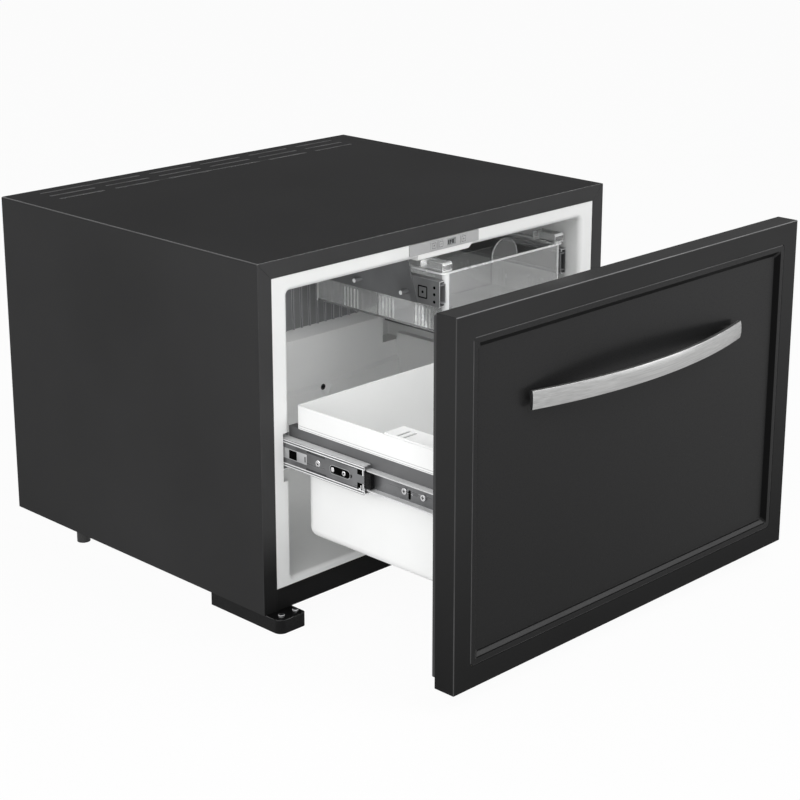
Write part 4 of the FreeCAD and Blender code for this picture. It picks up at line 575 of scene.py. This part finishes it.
def dress_cabinet():
    """the black sheet and the white liner"""
    low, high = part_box("outer_wrapper")
    foot_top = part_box("foot_bracket_left")[1].z

    # picks each rounded edge's painted highlight: brightest on the top's front edge, dim on the top's sides,
    # soft where the front meets the sides, none elsewhere on the front and the sides, and plain on the rest
    def fold(centre, normal):
        on_top = centre.z > high.z - NEAR
        at_front = centre.y < low.y + NEAR
        at_side = centre.x < low.x + NEAR or centre.x > high.x - NEAR
        if on_top and at_front:
            return "bright_edge_highlight"
        if on_top and at_side:
            return "dim_edge_highlight"
        if at_front and at_side:
            return "soft_edge_highlight"
        return None if at_front or at_side else "plain_edge_highlight"

    # gives the border's front and the cabinet's sides their lighter, painted-light copies of the paint
    def border(centre, normal):
        if normal.y < -SQUARE and centre.y < low.y + NEAR:
            return "border_lit_and_shaded"
        return "side_lit_black" if abs(normal.x) > SQUARE and abs(centre.x) > high.x - NEAR else None

    def foot_rim_highlight(centre, normal):
        return "zinc_lit_highlight" if normal.z > SLANTED and centre.z > foot_top - FOOT_HIGHLIGHT_DEPTH else None

    dressed("outer_wrapper", SHEET_EDGE, fold, WRAPPER_STRIP, face=border)
    dressed("front_bottom_rail", SHEET_EDGE)
    dressed("inner_liner", MOULDED_EDGE)
    dressed("evaporator_plate", MOULDED_EDGE, always("plate_edge_highlight"))
    for side, _ in SIDES:
        dressed("foot_bracket_" + side, FOOT_EDGE, foot_rim_highlight, segments=3)


# the recess's lower bevel: how high it is looked for, and its band of painted highlight, up from the panel's
# lower edge
SILL_ZONE = 0.02
SILL_BOTTOM = 0.0074
SILL_TOP = 0.0109

# how far back from the panel's front the recess's bevels reach
BEVEL_DEPTH = 0.0049


def dress_door():
    """the door's skin and its recessed panel, handle and seal"""
    low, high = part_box("door_skin")
    panel_low, panel_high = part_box("door_panel")
    sill = (panel_low.z + SILL_BOTTOM, panel_low.z + SILL_TOP)

    # picks the painted highlight of the door's front edges: plain along the top, dim down the left
    def corner(centre, normal):
        if centre.y > low.y + NEAR:
            return None
        if centre.z > high.z - NEAR:
            return "plain_edge_highlight"
        return "dim_edge_highlight" if centre.x < low.x + NEAR else None

    # a soft painted highlight on the edges round the panel's rim
    def groove(centre, normal):
        inset = min(centre.x - panel_low.x, panel_high.x - centre.x,
                    centre.z - panel_low.z, panel_high.z - centre.z)
        return "soft_edge_highlight" if inset < NEAR else None

    def split_sill(shape):
        for height in sill:
            slanted = [face for face in shape.faces if face.normal.z > SLANTED and face.normal.y < -SLANTED
                       and face.calc_center_median().z < panel_low.z + SILL_ZONE]
            near_by = list({part for face in slanted for part in (*face.verts, *face.edges)})
            cut_at(shape, slanted + near_by, height)

    # the recess's bevels carry painted light: a highlight band on the lower one, painted shade on the rest
    def bevel(centre, normal):
        if centre.y > panel_low.y + BEVEL_DEPTH or normal.y > -SLANTED or normal.y < -FLAT:
            return None
        return "bevel_lit" if normal.z > SLANTED and sill[0] < centre.z < sill[1] else "bevel_shade"

    dressed("door_skin", SHEET_EDGE, corner, DOOR_STRIP)
    dressed("door_panel", PRESSED_EDGE, groove, DOOR_STRIP, face=bevel, prepare=split_sill)
    dressed("handle", HANDLE_EDGE, segments=3)
    dressed("door_gasket", SOFT_EDGE)


def dress_drawer():
    """the basket, its rack and the slides"""

    # painted light: the slides' upward faces are lighter, as if lit from above
    def lit_top_faces(centre, normal):
        return "zinc_lit_highlight" if normal.z > UPWARD else None

    dressed("drawer_basket", BASKET_EDGE, segments=3)
    dressed("bottle_rack", SMALL_EDGE)
    for side, _ in SIDES:
        for member in ("slide_middle_", "slide_drawer_", "slide_cabinet_"):
            dressed(member + side, PRESSED_EDGE, always("zinc_edge_highlight"), SLIDE_STRIP, face=lit_top_faces)


# how thick the tray's rim is, and how far in from the left bracket's side and top its pegs and hooks lie
RIM_THICKNESS = 0.0021
PEG_ZONE = 0.0118


def dress_tray():
    """the clear tray, whose rims and ribs carry a painted highlight, and what carries it"""
    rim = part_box("tray_clips")[0].z
    rim_heights = (rim - RIM_THICKNESS, rim + WELD)
    low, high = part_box("tray_bracket_left")

    def split_rim(shape):
        for height in rim_heights:
            cut_at(shape, [*shape.verts, *shape.edges, *shape.faces], height)

    # the tab above the rim is clearer, and the rim's band carries the painted highlight
    def rim_and_tab(centre, normal):
        if centre.z > rim_heights[1]:
            return "clear_tab"
        return "clear_edge_highlight" if centre.z > rim_heights[0] else None

    def outside_plate(centre, normal):
        return "peg_pale" if centre.x < low.x + PEG_ZONE and centre.z < high.z - PEG_ZONE else None

    edge = always("clear_edge_highlight")
    dressed("bottle_tray", SHEET_EDGE, edge, TRAY_STRIP, face=rim_and_tab, prepare=split_rim)
    dressed("tray_clips", MOULDED_EDGE, edge, CLIP_STRIP)
    dressed("tray_slide_rails", PRESSED_EDGE, always("zinc_edge_highlight"), CLIP_STRIP)
    dressed("tray_bracket_left", SHEET_EDGE, outside_plate, face=outside_plate)


# keys and display

# how far print stands out of its face
PRINT = 0.00004

# a key's mark, and its parts as shares of it
KEY_MARK = 0.0062
KEY_LINE = 0.0005
SIGN_ARM = 0.26
LAMP_DOT = 0.15
LAMP_RAYS = 8
RAY_START = 0.22
RAY_END = 0.34
RAY_LINE = 0.7


def on_face(node):
    """the middle of a node's front face"""
    low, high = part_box(node)
    return Vector(((low.x + high.x) / 2, low.y, (low.z + high.z) / 2))


def front_bar(centre, across, up, half_width, half_height):
    """a printed bar on a face that looks forwards, its middle moved across and up"""
    x = centre.x + across
    z = centre.z + up
    return bar((x - half_width, centre.y - PRINT, z - half_height),
               (x + half_width, centre.y, z + half_height))


def square_ring(centre, half, half_line):
    """a square outline facing the front"""
    shapes = []
    for sign in (-1, 1):
        shapes.append(front_bar(centre, 0, sign * half, half, half_line))
        shapes.append(front_bar(centre, sign * half, 0, half_line, half))
    return joined(shapes)


def lamp_sign(centre):
    """a dot with rays around it"""
    radius = KEY_MARK * LAMP_DOT
    dot = [(0, 0), (radius, 0), (radius, PRINT), (0, PRINT)]
    shapes = [turned(dot, centre, (0, -1, 0), SMALL_ROUND)]
    for turn in range(LAMP_RAYS):
        angle = WHOLE_TURN * turn / LAMP_RAYS
        ray = Vector((math.cos(angle), 0, math.sin(angle))) * KEY_MARK
        shapes.append(strip(centre + ray * RAY_START, centre + ray * RAY_END, KEY_LINE * RAY_LINE, PRINT * 2))
    return shapes


def make_key_marks():
    """an outlined square on each key: a lamp, a minus and a plus"""
    arm = KEY_MARK * SIGN_ARM
    line = KEY_LINE / 2
    for key in ("light", "down", "up"):
        centre = on_face("key_" + key)
        shapes = [square_ring(centre, KEY_MARK / 2, line)]
        if key == "light":
            shapes += lamp_sign(centre)
        else:
            shapes.append(front_bar(centre, 0, 0, arm, line))
        if key == "up":
            shapes.append(front_bar(centre, 0, 0, line, arm))
        placed("key_mark_" + key, joined(shapes), ["print_grey"], "key_" + key)


# a seven-part digit's strokes, as (across, up) ends in shares of its half width and half height
STROKES = {
    "top": ((-1, 1), (1, 1)),
    "middle": ((-1, 0), (1, 0)),
    "bottom": ((-1, -1), (1, -1)),
    "upper_left": ((-1, 0), (-1, 1)),
    "upper_right": ((1, 0), (1, 1)),
    "lower_left": ((-1, -1), (-1, 0)),
    "lower_right": ((1, -1), (1, 0)),
}
DIGITS = {
    "0": ("top", "bottom", "upper_left", "upper_right", "lower_left", "lower_right"),
    "4": ("middle", "upper_left", "upper_right", "lower_right"),
    "C": ("top", "bottom", "upper_left", "lower_left"),
}

# digits in shares of the display's width and height, and their stroke
DIGIT_HALF_WIDTH = 0.1
DIGIT_HALF_HEIGHT = 0.31
DIGIT_STEP = 0.29
DIGIT_LINE = 0.0017


def make_digits():
    """a plain reading of four degrees on the display"""
    centre = on_face("display_window")
    low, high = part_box("display_window")
    width = high.x - low.x
    wide = width * DIGIT_HALF_WIDTH
    tall = (high.z - low.z) * DIGIT_HALF_HEIGHT
    shapes = []
    for place, digit in enumerate("04C"):
        middle = centre.x + (place - 1) * width * DIGIT_STEP
        for stroke in DIGITS[digit]:
            ends = [Vector((middle + across * wide, centre.y - PRINT / 2, centre.z + up * tall))
                    for across, up in STROKES[stroke]]
            shapes.append(strip(*ends, DIGIT_LINE, PRINT))
    placed("display_digits", joined(shapes), ["digit_dark"], "cabinet")


# slides

# marks on the middle member's web: a span back from its front end, one up from its middle line, and how far
# each stands out
# the tongue, the collar and the tabs carry a painted highlight, the pads painted shade, and the windows and
# the long slot are holes drawn as painted shade
TONGUE = ((0.0870, 0.1500), (-0.0055, 0.0062), 0.00022)
PADS = (
    ((0.0590, 0.0870), (0.0085, 0.0118), 0.0001),
    ((0.0570, 0.0880), (-0.0128, -0.0088), 0.0001),
    ((0.0020, 0.0570), (0.0102, 0.0112), 0.0001),
    ((0.0020, 0.0570), (-0.0112, -0.0102), 0.0001),
)
WINDOWS = (
    ((0.1025, 0.1145), (-0.0046, 0.0052), 0.0003),
    ((0.0888, 0.0902), (-0.0030, 0.0032), 0.0003),
    ((0.0020, 0.0100), (0.0052, 0.0118), 0.0002),
    ((0.0015, 0.0100), (-0.0128, -0.0040), 0.0002),
)
TABS = (
    ((0.0012, 0.0024), (0.0052, 0.0118), 0.00025),
    ((0.0010, 0.0022), (-0.0128, -0.0040), 0.00025),
    ((0.0040, 0.0078), (-0.0112, -0.0095), 0.00025),
    ((0.0040, 0.0052), (-0.0112, -0.0060), 0.00025),
)
LONG_SLOT = ((0.0212, 0.0512), (-0.0042, 0.0046), 0.0002)
COLLAR = ((0.0206, 0.0518), (-0.0048, 0.0052), 0.00012)

# the raised lines along the web, painted as highlights: how far in from its edges, and their size
BEAD_INSETS = (0.0012, 0.0040)
BEAD_HALF = 0.0006
BEAD_LIFT = 0.0003
BEAD_MARGIN = 0.0004

# half outlines of the round marks, no higher than the gap to the outer member, and where they are
PRESSED_RING = ((0, 0.0003), (0.0012, 0.00028), (0.0020, 0.0001), (0.0027, 0.0003), (0.0033, 0.0002),
                (0.0036, 0))
RIVET = ((0, 0.0004), (0.0014, 0.00037), (0.0026, 0.00024), (0.0030, 0))
DIMPLE = ((0, 0.00047), (0.0010, 0.00047), (0.0011, 0))
RING_ALONG = 0.0700
RING_UP = 0.0008
RIVETS_ALONG = (0.0305, 0.0475)


def make_middle_member(side, out):
    """what is pressed, riveted and let into the middle slide's web, drawn with painted highlights and painted
    shade
    """
    low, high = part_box("slide_middle_" + side)
    web = low.x if out < 0 else high.x
    centre = (low.z + high.z) / 2

    def mark(spans, maker=plane_slab):
        along, up, lift = spans
        return maker(web, out, [low.y + place for place in along], [centre + place for place in up], lift)

    def round_mark(outline, along, steps, up=0.0):
        return turned(outline, (web, low.y + along, centre + up), (out, 0, 0), steps)

    def add(name, shapes, finish):
        placed(name + "_" + side, joined(shapes), [finish], "runner")

    tongue = mark(TONGUE)
    ease(tongue, PRESSED_EDGE)
    add("slide_tongue_highlight", [tongue], "zinc_soft_highlight")
    add("slide_pad_shades", [mark(spans) for spans in PADS], "zinc_dark")
    holes = [mark(spans) for spans in WINDOWS] + [mark(LONG_SLOT, pill)]
    add("slide_window_shades", holes, "hole_shade_black")
    add("slide_collar_highlight", [mark(COLLAR, pill)], "zinc_soft_highlight")
    lines = [mark(spans) for spans in TABS]
    for edge in (-1, 1):
        for inset in BEAD_INSETS:
            place = centre + edge * ((high.z - low.z) / 2 - inset)
            bead = plane_slab(web, out, (low.y + BEAD_MARGIN, high.y - BEAD_MARGIN),
                              (place - BEAD_HALF, place + BEAD_HALF), BEAD_LIFT)
            ease(bead, PRESSED_EDGE)
            lines.append(bead)
    add("slide_bead_highlights", lines, "zinc_lit_highlight")
    # the pressed ring and the rivets carry the painted edge highlight, and the dimples painted shade
    rivets = [round_mark(PRESSED_RING, RING_ALONG, LARGE_ROUND, RING_UP)]
    rivets += [round_mark(RIVET, along, ROUND) for along in RIVETS_ALONG]
    add("slide_rivets", rivets, "zinc_edge_highlight")
    dimples = [round_mark(DIMPLE, along, SMALL_ROUND) for along in (RIVETS_ALONG[0], RING_ALONG)]
    add("slide_dimple_shades", dimples, "hole_shade_black")


# the middle slide's end piece: how far it stands before the slide, and the groove across it
BUMPER_ACROSS = (0.2412, 0.2468)
BUMPER_LENGTH = 0.0078
BUMPER_MARGIN = 0.0004
BUMPER_GROOVE_FRONT = 0.0060
BUMPER_GROOVE_BACK = 0.0036
BUMPER_GROOVE_MARGIN = 0.0050


def make_bumper(side, out):
    """the black end piece that closes the middle slide's front"""
    stop_low, stop_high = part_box("slide_stops")
    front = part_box("slide_middle_" + side)[0].y
    left, right = sorted(out * place for place in BUMPER_ACROSS)
    bumper = bar((left, front - BUMPER_LENGTH, stop_low.z + BUMPER_MARGIN),
                 (right, front + BUMPER_MARGIN, stop_high.z - BUMPER_MARGIN))
    groove = bar((left - BUMPER_MARGIN, front - BUMPER_GROOVE_FRONT, stop_low.z + BUMPER_GROOVE_MARGIN),
                 (right + BUMPER_MARGIN, front - BUMPER_GROOVE_BACK, stop_high.z - BUMPER_GROOVE_MARGIN))
    ease(bumper, SOFT_EDGE)
    placed("slide_bumper_" + side, joined([bumper, groove]), ["foot_black"], "runner")


# the inner member's slot, and how far its web lies behind its lips
INNER_WEB = 0.0073
INNER_SLOT_ALONG = (-0.2546, -0.2512)
INNER_SLOT_UP = (0.1882, 0.1984)
INNER_SLOT_LIFT = 0.0002


def make_drawer_member(side, out):
    """painted shade for the slot in the web of the slide's inner member"""
    low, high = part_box("slide_drawer_" + side)
    web = (low.x if out < 0 else high.x) - out * INNER_WEB
    slot = pill(web, out, INNER_SLOT_ALONG, INNER_SLOT_UP, INNER_SLOT_LIFT)
    placed("slide_slot_shade_" + side, slot, ["hole_shade_black"], "drawer")


# the marks on the tray's left slide, drawn as painted shade: a pressed square round a dot, and three holes
# above one another
SQUARE_MIDDLE = (-0.0284, 0.3150)
SQUARE_HALF = 0.0068
SQUARE_LINE = 0.0008
SQUARE_DOT = 0.0017
TRAY_HOLE = 0.0019
TRAY_HOLES_ALONG = -0.0472
TRAY_HOLES_UP = (0.3232, 0.3151, 0.3062)
MARK_LIFT = 0.0001


def make_tray_slide_details():
    """painted shade for the pressed square and the holes of the tray's left slide"""
    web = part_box("tray_slide_rails")[0].x
    along, up = SQUARE_MIDDLE

    def line(shift_along, shift_up, half_along, half_up):
        middle = (along + shift_along, up + shift_up)
        return plane_slab(web, -1, (middle[0] - half_along, middle[0] + half_along),
                          (middle[1] - half_up, middle[1] + half_up), MARK_LIFT)

    lines = []
    for sign in (-1, 1):
        lines.append(line(0, sign * SQUARE_HALF, SQUARE_HALF, SQUARE_LINE))
        lines.append(line(sign * SQUARE_HALF, 0, SQUARE_LINE, SQUARE_HALF))
    lines.append(turned(disc(SQUARE_DOT, MARK_LIFT), (web, along, up), (-1, 0, 0), ROUND))
    for height in TRAY_HOLES_UP:
        lines.append(turned(disc(TRAY_HOLE, MARK_LIFT), (web, TRAY_HOLES_ALONG, height), (-1, 0, 0), ROUND))
    placed("tray_slide_hole_shades", joined(lines), ["hole_shade_black"], "cabinet")


# screws, basket and seams

# a screw's cross: its arm as a share of the head, its line as a share of the arm, and how far it stands out
CROSS_ARM = 0.26
CROSS_LINE = 0.24
CROSS_LIFT = 0.00006


def make_screw_heads():
    """painted shade for the crossed slots in the heads of the drawer's screws, and a painted highlight on the
    foot screws' edges
    """
    dressed("drawer_screws", SHEET_EDGE)
    dressed("foot_screws", SMALL_EDGE, always("zinc_lit_highlight"))
    crosses = []
    for low, high in islands("drawer_screws"):
        out = -1 if low.x < 0 else 1
        face = low.x if out < 0 else high.x
        middle = (low + high) / 2
        arm = (high.z - low.z) * CROSS_ARM
        thin = arm * CROSS_LINE
        for along, up in ((arm, thin), (thin, arm)):
            crosses.append(plane_slab(face, out, (middle.y - along, middle.y + along),
                                      (middle.z - up, middle.z + up), CROSS_LIFT))
    placed("screw_cross_shades", joined(crosses), ["hole_shade_black"], "drawer")


# two thin lines of painted shade at the foot of the basket's band
GROOVE_HEIGHTS = (0.2240, 0.2266)
GROOVE_LINE = 0.0006
GROOVE_LIFT = 0.00008
GROOVE_FRONT_GAP = 0.006
GROOVE_REAR_GAP = 0.004


def make_basket_grooves():
    """painted shade in two thin lines pressed along the foot of the basket's band"""
    low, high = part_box("drawer_basket")
    along = (low.y + GROOVE_FRONT_GAP, high.y - GROOVE_REAR_GAP)
    shapes = []
    for out, face in ((-1, low.x), (1, high.x)):
        for height in GROOVE_HEIGHTS:
            shapes.append(plane_slab(face, out, along, (height, height + GROOVE_LINE), GROOVE_LIFT))
    placed("basket_groove_shades", joined(shapes), ["groove_shade_grey"], "drawer")


# the slots in the rack's end plates: their span across, their places along, and how deep their shade lies
RACK_SLOT_ACROSS = (0.2166, 0.2360)
RACK_SLOTS_ALONG = (-0.23285, -0.24185)
RACK_SLOT_HALF = 0.0016
RACK_SLOT_BOTTOM = 0.0018
RACK_SLOT_TOP = 0.0012


def make_rack_slots():
    """the shaded bottoms of the slots in the rack's plates"""
    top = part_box("bottle_rack")[1].z
    shapes = []
    for _, out in SIDES:
        left, right = sorted(out * place for place in RACK_SLOT_ACROSS)
        for along in RACK_SLOTS_ALONG:
            shapes.append(bar((left, along - RACK_SLOT_HALF, top - RACK_SLOT_BOTTOM),
                              (right, along + RACK_SLOT_HALF, top - RACK_SLOT_TOP)))
    placed("rack_slot_floors", joined(shapes), ["slot_grey"], "rack")


# the seams across the mouth's upper corners: how far in they start, and how wide they are
SEAM_INSET = 0.0014
SEAM_LINE = 0.00035


def make_seams():
    """the folded corners of the mouth's border"""
    low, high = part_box("outer_wrapper")
    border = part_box("front_bottom_rail")[0].x - low.x
    face = low.y - PRINT / 2
    shapes = []
    for inward, edge in ((1, low.x), (-1, high.x)):
        outer = Vector((edge + inward * SEAM_INSET, face, high.z - SEAM_INSET))
        inner = Vector((edge + inward * border, face, high.z - border))
        shapes.append(strip(outer, inner, SEAM_LINE, PRINT))
    placed("corner_seams", joined(shapes), ["plastic_black"], "cabinet")


dress_cabinet()
dress_door()
dress_drawer()
dress_tray()
make_key_marks()
make_digits()
for side, out in SIDES:
    make_middle_member(side, out)
    make_bumper(side, out)
    make_drawer_member(side, out)
make_tray_slide_details()
make_screw_heads()
make_basket_grooves()
make_rack_slots()
make_seams()
finish_nodes()


# floor, light and camera

WHITE = (1, 1, 1, 1)
FLOOR_SIZE = 14.0
FLOOR_COLOUR = (0.85, 0.85, 0.85, 1)
FLOOR_ROUGHNESS = 0.9

# how much of the floor and of the studio is plain white to the eye, and how much to mirrors
FLOOR_WHITE = (0.95, 0.5)
STUDIO_WHITE = (1.0, 1.0)
STUDIO_LEVEL = 0.36

CAMERA_PLACE = Vector((-1.549433, -1.534779, 0.907003))
CAMERA_YAW = 0.79125
CAMERA_PITCH = 0.28097
CAMERA_LENS = 87.022
CAMERA_SHIFT = -0.1
SENSOR = 36.0

# where the outer lamps aim
MIDDLE = (0, -0.1, 0.22)

# each lamp's name, place, aim, side in metres, watts and spread in degrees
LAMPS = (
    ("low_left", (-1.9, -1.9, 0.5), MIDDLE, 1.4, 19, 180),
    ("high_left", (-2.1, -0.9, 1.9), MIDDLE, 1.4, 12, 180),
    ("left", (-2.4, 0.4, 0.9), MIDDLE, 1.5, 20, 180),
    ("high_front", (0.5, -1.9, 2.1), MIDDLE, 1.4, 30, 180),
    ("front_right", (1.6, -1.8, 0.7), (0, -0.3, 0.3), 0.9, 7, 180),
    ("mouth", (-0.02, -0.078, 0.342), (0.02, 0.2, 0.2), 0.08, 0.03, 180),
    ("cavity", (-0.1, -0.05, 0.332), (-0.03, 0.25, 0.335), 0.1, 0.11, 100),
    ("under_tray", (0.04, -0.03, 0.262), (0.1, 0.25, 0.17), 0.1, 0.05, 100),
    ("over_basket", (-0.1, -0.21, 0.43), (-0.13, -0.24, 0.2), 0.2, 0.12, 90),
)


def white_to_the_eye(tree, shade, white, share, mirror_share):
    """mixes in plain white for camera and clear rays, and for mirror rays"""
    path = tree.nodes.new("ShaderNodeLightPath")
    direct = tree.nodes.new("ShaderNodeMath")
    direct.operation = "MAXIMUM"
    link(tree, path.outputs["Is Camera Ray"], direct.inputs[0])
    link(tree, path.outputs["Is Transmission Ray"], direct.inputs[1])
    part = tree.nodes.new("ShaderNodeMath")
    part.operation = "MULTIPLY"
    part.inputs[1].default_value = share
    link(tree, direct.outputs[0], part.inputs[0])
    mirror = tree.nodes.new("ShaderNodeMath")
    mirror.operation = "MULTIPLY_ADD"
    mirror.inputs[1].default_value = mirror_share
    link(tree, path.outputs["Is Glossy Ray"], mirror.inputs[0])
    link(tree, part.outputs[0], mirror.inputs[2])
    mixer = tree.nodes.new("ShaderNodeMixShader")
    link(tree, mirror.outputs[0], mixer.inputs["Fac"])
    link(tree, shade, mixer.inputs[1])
    link(tree, white, mixer.inputs[2])
    return mixer.outputs[0]


def make_floor():
    """a white floor that keeps a faint shadow"""
    shape = bmesh.new()
    bmesh.ops.create_grid(shape, x_segments=1, y_segments=1, size=FLOOR_SIZE / 2)
    mesh = bpy.data.meshes.new("floor")
    shape.to_mesh(mesh)
    shape.free()
    material = bpy.data.materials.new("floor_white")
    material.use_nodes = True
    tree = material.node_tree
    shader = tree.nodes["Principled BSDF"]
    shader.inputs["Base Color"].default_value = FLOOR_COLOUR
    shader.inputs["Roughness"].default_value = FLOOR_ROUGHNESS
    shader.inputs["Specular IOR Level"].default_value = 0.0
    glow = tree.nodes.new("ShaderNodeEmission")
    glow.inputs["Strength"].default_value = 1.0
    whole = white_to_the_eye(tree, shader.outputs[0], glow.outputs[0], *FLOOR_WHITE)
    link(tree, whole, tree.nodes["Material Output"].inputs["Surface"])
    mesh.materials.append(material)
    floor = bpy.data.objects.new("floor", mesh)
    bpy.context.scene.collection.objects.link(floor)


def make_world():
    """an even studio: white to the eye, softer on the object"""
    world = bpy.data.worlds.new("studio")
    bpy.context.scene.world = world
    world.use_nodes = True
    tree = world.node_tree
    background = tree.nodes["Background"]
    background.inputs["Color"].default_value = WHITE
    background.inputs["Strength"].default_value = STUDIO_LEVEL
    white = tree.nodes.new("ShaderNodeBackground")
    white.inputs["Color"].default_value = WHITE
    white.inputs["Strength"].default_value = 1.0
    whole = white_to_the_eye(tree, background.outputs[0], white.outputs[0], *STUDIO_WHITE)
    link(tree, whole, tree.nodes["World Output"].inputs["Surface"])


def make_lamp(name, place, aim, size, power, spread):
    """a square soft lamp aimed at a point, its light spread over so many degrees"""
    data = bpy.data.lights.new(name, "AREA")
    data.shape = "SQUARE"
    data.size = size
    data.energy = power
    data.spread = math.radians(spread)
    lamp = bpy.data.objects.new(name, data)
    lamp.location = place
    lamp.rotation_euler = (Vector(aim) - Vector(place)).to_track_quat("-Z", "Y").to_euler()
    bpy.context.scene.collection.objects.link(lamp)


def make_camera():
    """the photograph's place and lens"""
    data = bpy.data.cameras.new("camera")
    data.sensor_width = SENSOR
    data.lens = CAMERA_LENS
    data.shift_y = CAMERA_SHIFT
    camera = bpy.data.objects.new("camera", data)
    level = math.cos(CAMERA_PITCH)
    ahead = Vector((math.sin(CAMERA_YAW) * level, math.cos(CAMERA_YAW) * level, -math.sin(CAMERA_PITCH)))
    camera.location = CAMERA_PLACE
    camera.rotation_euler = ahead.to_track_quat("-Z", "Y").to_euler()
    bpy.context.scene.collection.objects.link(camera)
    bpy.context.scene.camera = camera


bpy.context.scene.view_settings.view_transform = "Standard"
make_camera()
make_floor()
make_world()
for lamp in LAMPS:
    make_lamp(*lamp)
